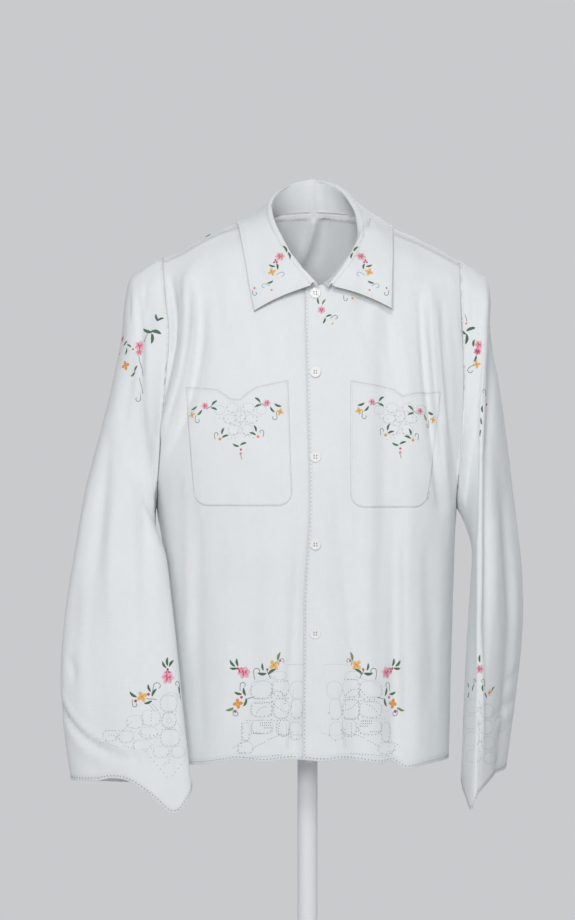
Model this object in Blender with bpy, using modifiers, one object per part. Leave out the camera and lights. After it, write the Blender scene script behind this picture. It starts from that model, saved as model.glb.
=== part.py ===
"""A long-sleeve shirt of embroidered table linen, hung on a white display stand.

Metres, +Z up, the shirt's front at -Y. The origin is the centre of the stand's foot, on the floor.
Sizes below are in millimetres and are scaled once, when a mesh is made. Left and right are the
viewer's, except in the names of the pieces, which say the wearer's side.
"""

import math
from collections import namedtuple

import bpy
import numpy as np
from mathutils import Matrix, Vector

MM = 0.001
SEAM_GAP = 0.5

# Cloth walls
LINEN_COLOUR = (0.78, 0.79, 0.80)
LINEN_ROUGHNESS = 0.9
CLOTH = 1.2
COLLAR_CLOTH = 1.3
POCKET_CLOTH = 1.0

# The shirt's body
ARMPIT = 1049.0
CENTRE_LINE = 11.0
FRONT_DEPTH = 104.0
BACK_DEPTH = 97.0
SECTION_POWER = 2.6
NECK_HALF_WIDTH = 66.0
NECK_HALF_DEPTH = 59.0
NECK_CENTRE_Y = -10.0
NECK_LEVEL = 1380.0
BACK_NECK_RISE = 64.0
SEAM_TURN = 0.196
SEAM_DRAW_BACK = 0.06
OVERLAP_EDGE = 24.0
OVERLAP_LIFT = 2.6
LIFT_ENDS = (40.0, 62.0)
ARMHOLE_SIDE = 150.0

# Mesh steps, how the upper rows crowd and lean, and the passes that fit a row to its edges
LOWER_ROWS = 10
UPPER_ROWS = 12
FRONT_NECK_COLUMNS = 5
SHOULDER_COLUMNS = 10
BACK_SHOULDER_COLUMNS = 6
BACK_NECK_COLUMNS = 8
SLEEVE_RINGS = 21
ROW_CROWDING = 1.4
COLUMN_LEAN = 1.3
FIT_PASSES = 6

# The stand
POLE_RADIUS = 12.5
BASE_RADIUS = 150.0
BASE_HEIGHT = 8.0
ARM_RADIUS = 7.0
ARM_CLEARANCE = 1.2
YOKE_LOW = 1290.0
STAND_GAP = 0.3
ARM_STEPS = 44

# The buttons
BUTTON_RADIUS = 6.85
BUTTON_THICK = 2.4
BUTTON_SEAT = 0.35
BUTTON_SIDES = 16
BUTTON_X = 9.0
BUTTON_HEIGHTS = (1313.0, 1216.0, 1112.5, 1006.0, 897.5)

Ridge = namedtuple("Ridge", "across height")
SHOULDER_RIDGE = (
    Ridge(-221, 1330), Ridge(-209, 1344), Ridge(-184, 1360), Ridge(-159, 1371),
    Ridge(-134, 1386), Ridge(-109, 1398), Ridge(-84, 1406), Ridge(-55, 1412),
    Ridge(11, 1415), Ridge(77, 1410), Ridge(104, 1399), Ridge(140, 1384),
    Ridge(165, 1371), Ridge(190, 1357), Ridge(208, 1344), Ridge(224, 1328),
)

# Where the ellipse of the body's section ends: the side seams, and wider than the cloth above them
Width = namedtuple("Width", "height left right")
SECTION_WIDTHS = (
    Width(700, -168, 175), Width(728, -168, 176), Width(850, -172, 179), Width(950, -176, 182),
    Width(1010, -182, 184), Width(1049, -188, 186), Width(1095, -203, 203),
    Width(1200, -214, 216), Width(1361, -224, 230), Width(1420, -226, 233),
)
PIT = next(row for row in SECTION_WIDTHS if row.height == ARMPIT)
ARMHOLES = (
    Width(1049, -188, 186), Width(1084, -185, 186), Width(1130, -181, 189), Width(1184, -177, 192),
    Width(1221, -174, 193), Width(1259, -171, 191), Width(1309, -176, 189.5), Width(1361, -181, 189.5),
)
Edge = namedtuple("Edge", "height across")
FRONT_EDGE = (
    Edge(1330, -3.5), Edge(1300, -3.5), Edge(1182, -1.0), Edge(1027, 0.5),
    Edge(960, -4.5), Edge(860, -6.0), Edge(740, -7.0),
)
FRONT_HEM = (
    Ridge(-168, 731), Ridge(-141, 734), Ridge(-114, 738), Ridge(-84, 743), Ridge(-56, 740),
    Ridge(-28, 743.5), Ridge(-8, 744), Ridge(10, 741), Ridge(36, 744), Ridge(68, 741),
    Ridge(90, 738), Ridge(102, 741), Ridge(116, 732), Ridge(145, 735), Ridge(176, 738),
)
BACK_HEM = (
    Ridge(-168, 731), Ridge(-110, 735), Ridge(-40, 731), Ridge(30, 734), Ridge(100, 730), Ridge(176, 738),
)

# Soft folds of the body: how far each stands out (in, if negative), its half-width and its straight run
Fold = namedtuple("Fold", "side out spread top bottom across_top across_bottom")
FRONT, BACK = -1, 1
BODY_FOLDS = (
    Fold(FRONT, 12.0, 11.0, 1376, 1215, -149, -158),
    Fold(FRONT, 12.0, 12.0, 1262, 1095, -157, -184),
    Fold(FRONT, -6.0, 10.0, 1350, 1150, -126, -138),
    Fold(FRONT, 8.0, 10.0, 1345, 1080, 154, 178),
    Fold(FRONT, -6.0, 13.0, 1330, 1090, 134, 156),
    Fold(FRONT, -10.0, 15.0, 1320, 700, 96, 104),
    Fold(FRONT, 5.0, 17.0, 1060, 690, 128, 138),
    Fold(FRONT, -5.0, 15.0, 1010, 690, -10, -26),
    Fold(FRONT, -5.0, 14.0, 1100, 690, 42, 58),
    Fold(FRONT, -4.0, 26.0, 1010, 690, -62, -70),
    Fold(BACK, -9.0, 20.0, 1340, 690, -72, -84),
    Fold(BACK, -7.0, 17.0, 1300, 690, 66, 88),
    Fold(BACK, 7.0, 19.0, 1250, 690, -118, -128),
    Fold(BACK, 6.0, 22.0, 1180, 690, 6, -10),
    Fold(BACK, 7.0, 16.0, 1220, 690, 122, 134),
)
FOLD_FADE = 70.0

# A sleeve's ring: outer and inner point (x, y, z), how deep it is before and behind the line between them,
# and how far along that line, from the outer point, the deepest points lie
Ring = namedtuple("Ring", "along outer inner front back front_at back_at")
LEFT_SLEEVE = (
    Ring(0.00, (-181, 0, 1360), (-188, 0, 1049), 50, 48, 0.50, 0.50),
    Ring(0.08, (-203, 0, 1348), (-190, -3, 1045), 50, 48, 0.50, 0.50),
    Ring(0.15, (-223, -1, 1331), (-191, -7, 1040), 46, 45, 0.48, 0.50),
    Ring(0.24, (-233, -6, 1262), (-190, -14, 1032), 40, 42, 0.46, 0.50),
    Ring(0.34, (-248.5, -14, 1184), (-188, -22, 1023), 35, 38, 0.46, 0.50),
    Ring(0.44, (-264, -22, 1120), (-183, -31, 1011), 32, 34, 0.48, 0.48),
    Ring(0.54, (-280, -30, 1052), (-176, -41, 992), 30, 31, 0.50, 0.46),
    Ring(0.64, (-291, -38, 985), (-170, -51, 955), 29, 29, 0.52, 0.46),
    Ring(0.74, (-300, -46, 916), (-163, -63, 896), 28, 27, 0.54, 0.46),
    Ring(0.84, (-305, -55, 840), (-156.5, -75, 838), 27, 25, 0.55, 0.46),
    Ring(0.92, (-300, -60, 778), (-149, -86, 776), 26, 24, 0.56, 0.46),
    Ring(1.00, (-291.5, -63, 716), (-141, -94, 716), 25, 23, 0.56, 0.46),
)
RIGHT_SLEEVE = (
    Ring(0.00, (189.5, 0, 1357), (186, 0, 1049), 50, 48, 0.50, 0.50),
    Ring(0.08, (208, 0, 1345), (188, -1, 1045), 50, 49, 0.42, 0.48),
    Ring(0.15, (226, 0, 1329), (191, -2, 1040), 50, 50, 0.36, 0.46),
    Ring(0.24, (230, 7, 1268), (195, -4, 1031), 53, 50, 0.50, 0.43),
    Ring(0.34, (243, 15, 1190), (199, -7, 1019), 57, 49, 0.72, 0.40),
    Ring(0.44, (253, 22, 1112), (203, -11, 1004), 60, 48, 0.84, 0.38),
    Ring(0.54, (262, 26, 1042), (204, -15, 984), 62, 46, 0.87, 0.36),
    Ring(0.64, (270, 28, 968), (202, -19, 946), 64, 43, 0.88, 0.35),
    Ring(0.74, (271, 26, 900), (198.5, -23, 886), 64, 41, 0.86, 0.35),
    Ring(0.84, (264, 22, 830), (195.5, -27, 828), 64, 38, 0.80, 0.36),
    Ring(0.92, (257, 18, 776), (193, -30, 776), 63, 36, 0.77, 0.37),
    Ring(1.00, (249.5, 14, 723), (190, -33, 716), 62, 34, 0.73, 0.38),
)

# The pointed edge of each cuff: share of the way round the front half from the outer point, and its drop
Drop = namedtuple("Drop", "share drop")
LEFT_CUFF_FRONT = (
    Drop(0.0, 0.0), Drop(0.30, -1.0), Drop(0.44, -4.0), Drop(0.58, 18.0),
    Drop(0.74, 38.0), Drop(0.84, 24.0), Drop(1.0, 6.0),
)
RIGHT_CUFF_FRONT = (
    Drop(0.0, 0.0), Drop(0.30, 4.0), Drop(0.50, 22.0), Drop(0.66, 38.0), Drop(0.80, 22.0), Drop(1.0, 3.0),
)
CUFF_BACK = (Drop(0.0, 0.0), Drop(0.5, 4.0), Drop(1.0, 4.0))
CUFF_REACH = 0.14
ARMHOLE_REACH = 0.34

# How square (under 1) or pinched (over 1) a sleeve's section is
LEFT_SLEEVE_POWER = 0.92
RIGHT_SLEEVE_POWER = 1.25

# Lengthwise folds of a sleeve: which half, share across it, the stretch of the sleeve and the depth
SleeveFold = namedtuple("SleeveFold", "half share spread start end out")
LEFT_SLEEVE_FOLDS = (
    SleeveFold(FRONT, 0.36, 0.06, 0.02, 0.34, -4.0),
    SleeveFold(FRONT, 0.52, 0.09, 0.30, 0.96, 4.0),
    SleeveFold(FRONT, 0.30, 0.08, 0.40, 0.90, -3.5),
    SleeveFold(FRONT, 0.72, 0.07, 0.36, 0.86, -3.5),
    SleeveFold(BACK, 0.40, 0.09, 0.30, 1.00, -5.0),
    SleeveFold(BACK, 0.62, 0.08, 0.20, 0.90, 4.0),
)
RIGHT_SLEEVE_FOLDS = (
    SleeveFold(FRONT, 0.22, 0.07, 0.40, 1.00, -5.0),
    SleeveFold(FRONT, 0.36, 0.06, 0.30, 0.95, 4.0),
    SleeveFold(BACK, 0.35, 0.09, 0.30, 1.00, -5.0),
    SleeveFold(BACK, 0.65, 0.09, 0.25, 0.95, 4.0),
)

# The collar's guide lines, from the left front round the back to the right front
Guide = namedtuple("Guide", "share x y z")
ROLL_LINE = (
    Guide(0.00, 12, -82, 1326), Guide(0.10, -12, -71, 1354), Guide(0.19, -28, -55, 1380),
    Guide(0.29, -43, -28, 1413), Guide(0.36, -44, -4, 1434), Guide(0.45, -23, 33, 1456),
    Guide(0.52, 6, 46, 1464), Guide(0.59, 36, 34, 1455), Guide(0.67, 57, 2, 1427),
    Guide(0.75, 62, -24, 1401), Guide(0.82, 60, -43, 1382), Guide(0.90, 49, -64, 1359),
    Guide(1.00, 24, -84, 1325),
)
OUTER_EDGE = (
    Guide(0.00, -66, -79, 1291), Guide(0.08, -72, -68, 1320), Guide(0.16, -79, -50, 1362),
    Guide(0.24, -86, -24, 1397), Guide(0.31, -88, 6, 1407), Guide(0.41, -56, 57, 1402),
    Guide(0.50, 8, 79, 1396), Guide(0.59, 72, 59, 1400), Guide(0.68, 104, 6, 1402),
    Guide(0.75, 106, -24, 1391), Guide(0.84, 105, -53, 1355), Guide(0.92, 104, -70, 1322),
    Guide(1.00, 103, -80, 1294),
)
COLLAR_COLUMNS = 26
ROLL_RADIUS = 4.0
STAND_STEPS = 2
ROLL_STEPS = 4
FALL_STEPS = 4
FALL_BULGE = 3.0
FALL_CLEARANCE = 3.2
FOOT_START = 0.02
FOOT_RISE = 1.0
FOOT_OUT = 1.5
FOOT_FRONT = 0.3
OVER_FOOT = 0.06
NECK_INSIDE = 0.9

# A pocket's outline on its front panel: top edge as (share across, height), the sides and the bottom,
# and how far its inner face lies off the panel
PocketCut = namedtuple("PocketCut", "top left_top right_top left_low right_low bottom corner lift")
LEFT_POCKET = PocketCut(
    ((0.0, 1198), (0.26, 1196), (0.37, 1192), (0.47, 1185), (0.53, 1187), (0.66, 1198), (1.0, 1206)),
    -145.5, -24.5, -138, -19.5, 1053.0, 16.0, 0.9,
)
RIGHT_POCKET = PocketCut(
    ((0.0, 1205.5), (0.34, 1199), (0.48, 1195), (0.58, 1187), (0.72, 1191), (1.0, 1192)),
    52.0, 162.5, 52.0, 146.5, 1051.0, 17.0, 1.6,
)
POCKET_STEPS = 12
CORNER_ROUNDING = 0.75


def along(table, value, column=1, key=0):
    """A smooth curve through one column of a table, held level past its ends."""
    rows = sorted(table, key=lambda row: row[key])
    xs = np.array([row[key] for row in rows], float)
    ys = np.array([row[column] for row in rows], float)
    slopes = np.gradient(ys, xs)
    value = np.clip(np.asarray(value, float), xs[0], xs[-1])
    i = np.clip(np.searchsorted(xs, value, side="right") - 1, 0, len(xs) - 2)
    width = xs[i + 1] - xs[i]
    t = (value - xs[i]) / width
    return (
        (2 * t**3 - 3 * t**2 + 1) * ys[i]
        + (t**3 - 2 * t**2 + t) * width * slopes[i]
        + (3 * t**2 - 2 * t**3) * ys[i + 1]
        + (t**3 - t**2) * width * slopes[i + 1]
    )


def smooth_step(value):
    t = np.clip(value, 0.0, 1.0)
    return t * t * (3 - 2 * t)


def fold_relief(x, z, side):
    """How far the folds of one side of the body stand out at a point."""
    total = np.zeros(np.broadcast(x, z).shape)
    for fold in BODY_FOLDS:
        if fold.side != side:
            continue
        run = (fold.top - z) / (fold.top - fold.bottom)
        middle = fold.across_top + (fold.across_bottom - fold.across_top) * run
        fade = smooth_step((fold.top - z) / FOLD_FADE) * smooth_step((z - fold.bottom) / FOLD_FADE)
        total = total + fold.out * fade * np.exp(-(((x - middle) / fold.spread) ** 2))
    return total


def ridge_height(x, side):
    """The shoulder line. Behind the neck it rises, so that the back reaches up to the collar."""
    inside = np.clip(1 - ((x - CENTRE_LINE) / NECK_HALF_WIDTH) ** 2, 0, None)
    rise = np.where(np.asarray(side) > 0, BACK_NECK_RISE * inside**1.5, 0.0)
    return along(SHOULDER_RIDGE, x) + rise


def section_roundness(x, z):
    left = along(SECTION_WIDTHS, z, 1)
    right = along(SECTION_WIDTHS, z, 2)
    share = np.clip(np.abs((x - (left + right) / 2) / ((right - left) / 2)), 0, 1)
    return np.sqrt(np.clip(1 - share**SECTION_POWER, 0, 1))


def body_point(x, turn):
    """A point of the body above the armpits. The turn is 0 on the shoulder line, negative before it."""
    side = np.where(turn < 0, FRONT, BACK)
    z = ARMPIT + (ridge_height(x, side) - ARMPIT) * np.cos(turn)
    depth = np.where(turn < 0, FRONT_DEPTH, BACK_DEPTH)
    y = depth * section_roundness(x, z) * np.sin(turn)
    relief = np.where(turn < 0, fold_relief(x, z, FRONT), fold_relief(x, z, BACK))
    y = y + side * relief * np.abs(np.sin(turn))
    return np.stack([x, y, z], axis=-1)


def body_low_point(x, z, side):
    """A point of the body below the armpits."""
    round_in = section_roundness(x, z)
    depth = FRONT_DEPTH if side == FRONT else BACK_DEPTH
    y = side * (depth * round_in + fold_relief(x, z, side) * np.minimum(1, 2 * round_in))
    return np.stack([x, y, z], axis=-1)


def neck_turn(x, side):
    """The turn at which the neckline crosses the column at x."""
    across = np.clip(1 - ((x - CENTRE_LINE) / NECK_HALF_WIDTH) ** 2, 0, 1)
    y = NECK_CENTRE_Y + side * NECK_HALF_DEPTH * np.sqrt(across)
    depth = FRONT_DEPTH if side == FRONT else BACK_DEPTH
    return np.arcsin(np.clip(y / (depth * section_roundness(x, NECK_LEVEL)), -1, 1))


def row_shares(side):
    """Turns of the rows above the armpits as shares of the way from the armpit to the seam."""
    rise = [1 - (1 - i / UPPER_ROWS) ** ROW_CROWDING for i in range(UPPER_ROWS - 1)]
    turns = [math.acos(value) for value in rise] + [SEAM_TURN]
    if side == BACK:
        turns += [SEAM_TURN / 2, 0.0, -SEAM_TURN / 2, -SEAM_TURN]
    reach = math.pi / 2 - turns[-1]
    return [(math.pi / 2 - turn) / reach for turn in turns]


def armhole_x(z, hand):
    return along(ARMHOLES, z, 1 if hand < 0 else 2)


def column_shares(low_start, low_end, count):
    """Even turns round the section, so that columns crowd at the side seam."""
    middle, half = (PIT.left + PIT.right) / 2, (PIT.right - PIT.left) / 2
    first = math.asin(np.clip((low_start - middle) / half, -1, 1))
    last = math.asin(np.clip((low_end - middle) / half, -1, 1))
    turns = np.linspace(first, last, count + 1)
    return middle + half * np.sin(turns)


def panel_grid(side, pit_columns, top_columns, inner_edge=None):
    """Rows of points from the hem up to the neckline and shoulder seam of one body panel.

    pit_columns and top_columns are each column's x at the armpits and at the top. An inner edge
    is the line of a front's closing edge, which the first column follows.
    """
    hem_table = FRONT_HEM if side == FRONT else BACK_HEM
    rows = []
    for i in range(LOWER_ROWS):
        share = i / LOWER_ROWS
        x = pit_columns.copy()
        for _ in range(FIT_PASSES):
            hem = along(hem_table, x)
            z = hem + (ARMPIT - hem) * share
            x = np.where(
                pit_columns < 0,
                pit_columns * along(SECTION_WIDTHS, z, 1) / PIT.left,
                pit_columns * along(SECTION_WIDTHS, z, 2) / PIT.right,
            )
            if inner_edge is not None:
                x[0] = along(inner_edge, z[0])
        rows.append(body_low_point(x, z, side))
    for share in row_shares(side):
        ends = np.array([end_turn(x, side) for x in top_columns])
        turns = side * (math.pi / 2) - share * (side * math.pi / 2 - ends)
        move = share**COLUMN_LEAN
        straight = pit_columns * (1 - move) + top_columns * move
        x = straight.copy()
        for _ in range(FIT_PASSES):
            z = body_point(x, turns)[:, 2]
            x = fit_armholes(straight, z)
            if inner_edge is not None:
                x[0] = along(inner_edge, z[0])
        rows.append(body_point(x, turns))
    return np.array(rows)


def fit_armholes(columns, z):
    """Draws a row's columns together, so that the last one lies on the armhole."""
    x = columns.copy()
    for end, hand in ((0, -1), (-1, 1), (-1, -1)):
        if hand * columns[end] > ARMHOLE_SIDE:
            reach = (armhole_x(z[end], hand) - CENTRE_LINE) / (columns[end] - CENTRE_LINE)
            mine = hand * (columns - CENTRE_LINE) > 0
            x[mine] = CENTRE_LINE + (columns[mine] - CENTRE_LINE) * reach
    return x


def end_turn(x, side):
    """Where a column ends: on the neckline inside the neck, else on the shoulder seam in front."""
    if abs(x - CENTRE_LINE) < NECK_HALF_WIDTH:
        turn = float(neck_turn(x, side))
        return min(turn, -SEAM_TURN) if side == FRONT else max(turn, -SEAM_TURN)
    return -SEAM_TURN


def under_front_grid():
    pit = column_shares(OVERLAP_EDGE, PIT.left, FRONT_NECK_COLUMNS + SHOULDER_COLUMNS)
    neck = np.linspace(OVERLAP_EDGE, CENTRE_LINE - NECK_HALF_WIDTH + 1, FRONT_NECK_COLUMNS + 1)
    shoulder = np.linspace(neck[-1], ARMHOLES[-1].left, SHOULDER_COLUMNS + 1)
    grid = panel_grid(FRONT, pit, np.concatenate([neck, shoulder[1:]]))
    return close_seams(grid)


def over_front_grid():
    start = float(along(FRONT_EDGE, ARMPIT))
    pit = column_shares(start, PIT.right, FRONT_NECK_COLUMNS + SHOULDER_COLUMNS)
    neck = np.linspace(FRONT_EDGE[0].across, CENTRE_LINE + NECK_HALF_WIDTH - 1, FRONT_NECK_COLUMNS + 1)
    shoulder = np.linspace(neck[-1], ARMHOLES[-1].right, SHOULDER_COLUMNS + 1)
    grid = panel_grid(FRONT, pit, np.concatenate([neck, shoulder[1:]]), FRONT_EDGE)
    grid[:, :, 1] -= over_lift(grid[:, :, 0])
    return close_seams(grid)


def over_lift(x):
    """The wearer's left front stands out where it lies on the other."""
    return OVERLAP_LIFT * (1 - smooth_step((x - LIFT_ENDS[0]) / (LIFT_ENDS[1] - LIFT_ENDS[0])))


def back_grid():
    pit = column_shares(PIT.left, PIT.right, 2 * BACK_SHOULDER_COLUMNS + BACK_NECK_COLUMNS)
    near = CENTRE_LINE - NECK_HALF_WIDTH, CENTRE_LINE + NECK_HALF_WIDTH
    top = np.concatenate([
        np.linspace(ARMHOLES[-1].left, near[0], BACK_SHOULDER_COLUMNS + 1),
        np.linspace(near[0], near[1], BACK_NECK_COLUMNS + 1)[1:-1],
        np.linspace(near[1], ARMHOLES[-1].right, BACK_SHOULDER_COLUMNS + 1),
    ])
    grid = panel_grid(BACK, pit, top)
    grid[: LOWER_ROWS + 1, (0, -1), 1] += SEAM_GAP / 2
    return grid


def close_seams(grid):
    """Draws a front's side seam and shoulder seam back from the back's edges."""
    grid[: LOWER_ROWS + 1, -1, 1] -= SEAM_GAP / 2
    shoulder = slice(FRONT_NECK_COLUMNS, None)
    grid[-1, shoulder] += (grid[-2, shoulder] - grid[-1, shoulder]) * SEAM_DRAW_BACK
    return grid


def armhole_ring(hand):
    """The sleeve's first ring, point for point on the edges of front and back, from the ridge forwards."""
    front_shares, back_shares = row_shares(FRONT), row_shares(BACK)
    front_turns = [-(math.pi / 2 - share * (math.pi / 2 - SEAM_TURN)) for share in front_shares]
    back_turns = [math.pi / 2 - share * (math.pi / 2 + SEAM_TURN) for share in back_shares]
    turns = [back_turns[-3], back_turns[-2]] + front_turns[::-1] + back_turns[1:-3]
    points = []
    for turn in turns:
        x = ARMHOLES[0].left if hand < 0 else ARMHOLES[0].right
        for _ in range(FIT_PASSES):
            point = body_point(np.array(float(x)), np.array(turn))
            x = armhole_x(point[2], hand)
        point = body_point(np.array(float(x)), np.array(turn))
        if hand > 0 and turn < 0:
            point[1] -= over_lift(point[0])
        points.append(point)
    ring = np.array(points)
    ring[:, 0] += hand * SEAM_GAP
    return ring


def ring_value(table, share, name):
    return float(along([(row.along, getattr(row, name)) for row in table], share))


def ring_point(table, share, name):
    return np.array([along([(row.along, getattr(row, name)[k]) for row in table], share) for k in range(3)])


def sleeve_ring(table, share, count, power):
    """One ring of the sleeve's own form, between its outer and inner lines."""
    outer = ring_point(table, share, "outer")
    inner = ring_point(table, share, "inner")
    depth = {FRONT: ring_value(table, share, "front"), BACK: ring_value(table, share, "back")}
    peak = {FRONT: ring_value(table, share, "front_at"), BACK: ring_value(table, share, "back_at")}
    points = []
    for k in range(count):
        angle = 2 * math.pi * k / count
        side = FRONT if angle <= math.pi else BACK
        middle = outer + (inner - outer) * peak[side]
        reach = outer if math.cos(angle) > 0 else inner
        lie = abs(math.cos(angle)) ** power
        rise = abs(math.sin(angle)) ** power
        points.append(middle + (reach - middle) * lie + np.array([0, side * depth[side] * rise, 0]))
    return np.array(points)


def sleeve_grid(table, hand, power, folds, cuff_front):
    first = armhole_ring(hand)
    count = len(first)
    start = sleeve_ring(table, 0.0, count, power)
    rings = []
    for i in range(SLEEVE_RINGS + 1):
        share = i / SLEEVE_RINGS
        ring = sleeve_ring(table, share, count, power)
        ring = ring + (first - start) * (1 - smooth_step(share / ARMHOLE_REACH))
        centre = ring.mean(axis=0)
        for k in range(count):
            half = FRONT if k <= count / 2 else BACK
            across = (k if half == FRONT else count - k) / (count / 2)
            relief = 0.0
            for fold in folds:
                if fold.half != half:
                    continue
                span = (share - fold.start) / (fold.end - fold.start)
                fade = smooth_step(span * 4) * smooth_step((1.0 - span) * 4 + (1 if fold.end == 1 else 0))
                relief += fold.out * fade * math.exp(-(((across - fold.share) / fold.spread) ** 2))
            outward = ring[k] - centre
            ring[k] = ring[k] + outward / np.linalg.norm(outward) * relief
            drops = cuff_front if half == FRONT else CUFF_BACK
            reach = smooth_step((share - (1 - CUFF_REACH)) / CUFF_REACH)
            ring[k, 2] -= float(along(drops, across)) * reach
        rings.append(ring)
    return np.array(rings)


def guide_point(table, share):
    return np.array([float(along(table, share, k)) for k in (1, 2, 3)])


def neckline_point(angle):
    """A point of the neckline, from the front centre (0) round the left and back to the front (1)."""
    turn = 2 * math.pi * angle
    x = CENTRE_LINE - NECK_HALF_WIDTH * math.sin(turn)
    y = NECK_CENTRE_Y - NECK_HALF_DEPTH * math.cos(turn)
    side = FRONT if y < 0 else BACK
    depth = FRONT_DEPTH if side == FRONT else BACK_DEPTH
    lean = math.asin(max(-1, min(1, y / (depth * float(section_roundness(x, NECK_LEVEL))))))
    return body_point(np.array(x), np.array(lean))


def clear_of_body(point, clearance):
    """Moves a point straight out from the body's section until it clears it."""
    x, y, z = point
    side = FRONT if y < 0 else BACK
    depth = (FRONT_DEPTH if side == FRONT else BACK_DEPTH) * float(section_roundness(x, z))
    height = float(ridge_height(x, side)) - ARMPIT
    level = (y / depth) ** 2 + ((z - ARMPIT) / height) ** 2
    slope = np.array([0.0, 2 * y / depth**2, 2 * (z - ARMPIT) / height**2])
    steep = np.linalg.norm(slope)
    gap = (level - 1) / steep
    return point + slope / steep * max(0.0, clearance - gap)


def fall_clearance(point):
    return FALL_CLEARANCE + (float(over_lift(point[0])) if point[0] > 0 else 0.0)


def beyond_neck(point):
    across = (point[0] - CENTRE_LINE) / NECK_HALF_WIDTH
    back = (point[1] - NECK_CENTRE_Y) / NECK_HALF_DEPTH
    return across**2 + back**2 > NECK_INSIDE


def collar_grid():
    """Columns round the neck. Each runs up the stand, over the roll and down the fall to the edge."""
    columns = []
    for j in range(COLLAR_COLUMNS + 1):
        share = j / COLLAR_COLUMNS
        roll = guide_point(ROLL_LINE, share)
        edge = guide_point(OUTER_EDGE, share)
        foot = neckline_point(FOOT_START + (1 - 2 * FOOT_START) * share)
        foot[2] += FOOT_RISE
        if share < FOOT_FRONT or share > 1 - FOOT_FRONT:
            foot[1] -= FOOT_OUT
        if share < OVER_FOOT or share > 1 - FOOT_FRONT:
            foot[1] -= OVERLAP_LIFT
        out = edge - roll
        out[2] = 0
        out /= np.linalg.norm(out)
        size = ROLL_RADIUS
        centre = roll + out * size - np.array([0, 0, size])
        column = [foot + (centre - out * size - foot) * k / STAND_STEPS for k in range(STAND_STEPS)]
        for k in range(ROLL_STEPS + 1):
            turn = math.pi * k / ROLL_STEPS
            point = centre - out * size * math.cos(turn) + np.array([0, 0, size * math.sin(turn)])
            column.append(clear_of_body(point, fall_clearance(point)) if beyond_neck(point) else point)
        last = column[-1]
        for k in range(1, FALL_STEPS + 1):
            t = k / FALL_STEPS
            point = last + (edge - last) * t
            point = point + (out * 0.7 + np.array([0, 0, 0.7])) * FALL_BULGE * math.sin(math.pi * t)
            column.append(clear_of_body(point, fall_clearance(point)))
        columns.append(column)
    return np.array(columns)


def grid_at(grid, x, z):
    """The point of a panel's own facets, and its outward normal, at a given x and z."""
    rows, columns = grid.shape[:2]
    best = None
    for r in range(rows - 1):
        for c in range(columns - 1):
            corners = grid[r, c], grid[r, c + 1], grid[r + 1, c + 1], grid[r + 1, c]
            xs = [p[0] for p in corners]
            zs = [p[2] for p in corners]
            if not (min(xs) <= x <= max(xs) and min(zs) <= z <= max(zs)):
                continue
            u, v = 0.5, 0.5
            for _ in range(FIT_PASSES):
                low = corners[0] * (1 - u) + corners[1] * u
                high = corners[3] * (1 - u) + corners[2] * u
                found = low * (1 - v) + high * v
                du = (corners[1] - corners[0]) * (1 - v) + (corners[2] - corners[3]) * v
                dv = high - low
                missing = np.array([x - found[0], z - found[2]])
                step = np.linalg.solve(np.array([[du[0], dv[0]], [du[2], dv[2]]]), missing)
                u, v = u + step[0], v + step[1]
            if -0.01 <= u <= 1.01 and -0.01 <= v <= 1.01:
                normal = np.cross(du, dv)
                normal = normal / np.linalg.norm(normal)
                best = found, normal if normal[1] < 0 else -normal
    if best is None:
        raise ValueError(f"no cloth at {x:.1f}, {z:.1f}")
    return best


def pocket_grid(panel, cut):
    """A pocket on its panel's points, moved out. Its lower corners are rounded."""
    heights = [row[1] for row in cut.top]
    shares = [row[0] for row in cut.top]
    rows = []
    for r in range(POCKET_STEPS + 1):
        row = []
        for c in range(POCKET_STEPS + 1):
            across = c / POCKET_STEPS
            up = r / POCKET_STEPS
            top = float(np.interp(across, shares, heights))
            low_left = cut.left_low + (cut.left_top - cut.left_low) * up
            low_right = cut.right_low + (cut.right_top - cut.right_low) * up
            x = low_left + (low_right - low_left) * across
            side = min(across, 1 - across) * (low_right - low_left)
            bite = max(0.0, 1 - side / cut.corner)
            lift = cut.corner * (1 - math.sqrt(1 - bite * bite)) * CORNER_ROUNDING
            z = cut.bottom + lift * (1 - up) ** 2 + (top - cut.bottom) * up
            point, normal = grid_at(panel, x, z)
            row.append(point + normal * (cut.lift + POCKET_CLOTH))
        rows.append(row)
    return np.array(rows)


def material(name, colour, roughness, metallic=0.0):
    made = bpy.data.materials.new(name)
    made.use_nodes = True
    shader = made.node_tree.nodes["Principled BSDF"]
    shader.inputs["Base Color"].default_value = (*colour, 1.0)
    shader.inputs["Roughness"].default_value = roughness
    shader.inputs["Metallic"].default_value = metallic
    made.diffuse_color = (*colour, 1.0)
    return made


def linen(piece):
    return material(f"Linen {piece}", LINEN_COLOUR, LINEN_ROUGHNESS)


def place(obj, collection, finish):
    for other in list(obj.users_collection):
        other.objects.unlink(obj)
    collection.objects.link(obj)
    obj.data.materials.clear()
    obj.data.materials.append(finish)
    return obj


def cloth_piece(name, grid, thickness, collection, finish, closed=False, flip=False):
    """A wall of cloth from a grid of points on its outer face, thickened inwards."""
    rows, columns = grid.shape[:2]
    points = (grid.reshape(-1, 3) * MM).tolist()
    faces = []
    for r in range(rows - 1):
        for c in range(columns if closed else columns - 1):
            d = (c + 1) % columns
            quad = (r * columns + c, r * columns + d, (r + 1) * columns + d, (r + 1) * columns + c)
            faces.append(quad[::-1] if flip else quad)
    mesh = bpy.data.meshes.new(name)
    mesh.from_pydata(points, [], faces)
    mesh.shade_smooth()
    obj = place(bpy.data.objects.new(name, mesh), collection, finish)
    wall = obj.modifiers.new("Wall", "SOLIDIFY")
    wall.thickness = thickness * MM
    wall.offset = -1.0
    obj.modifiers.new("Even shading", "WEIGHTED_NORMAL")
    return obj


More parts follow.
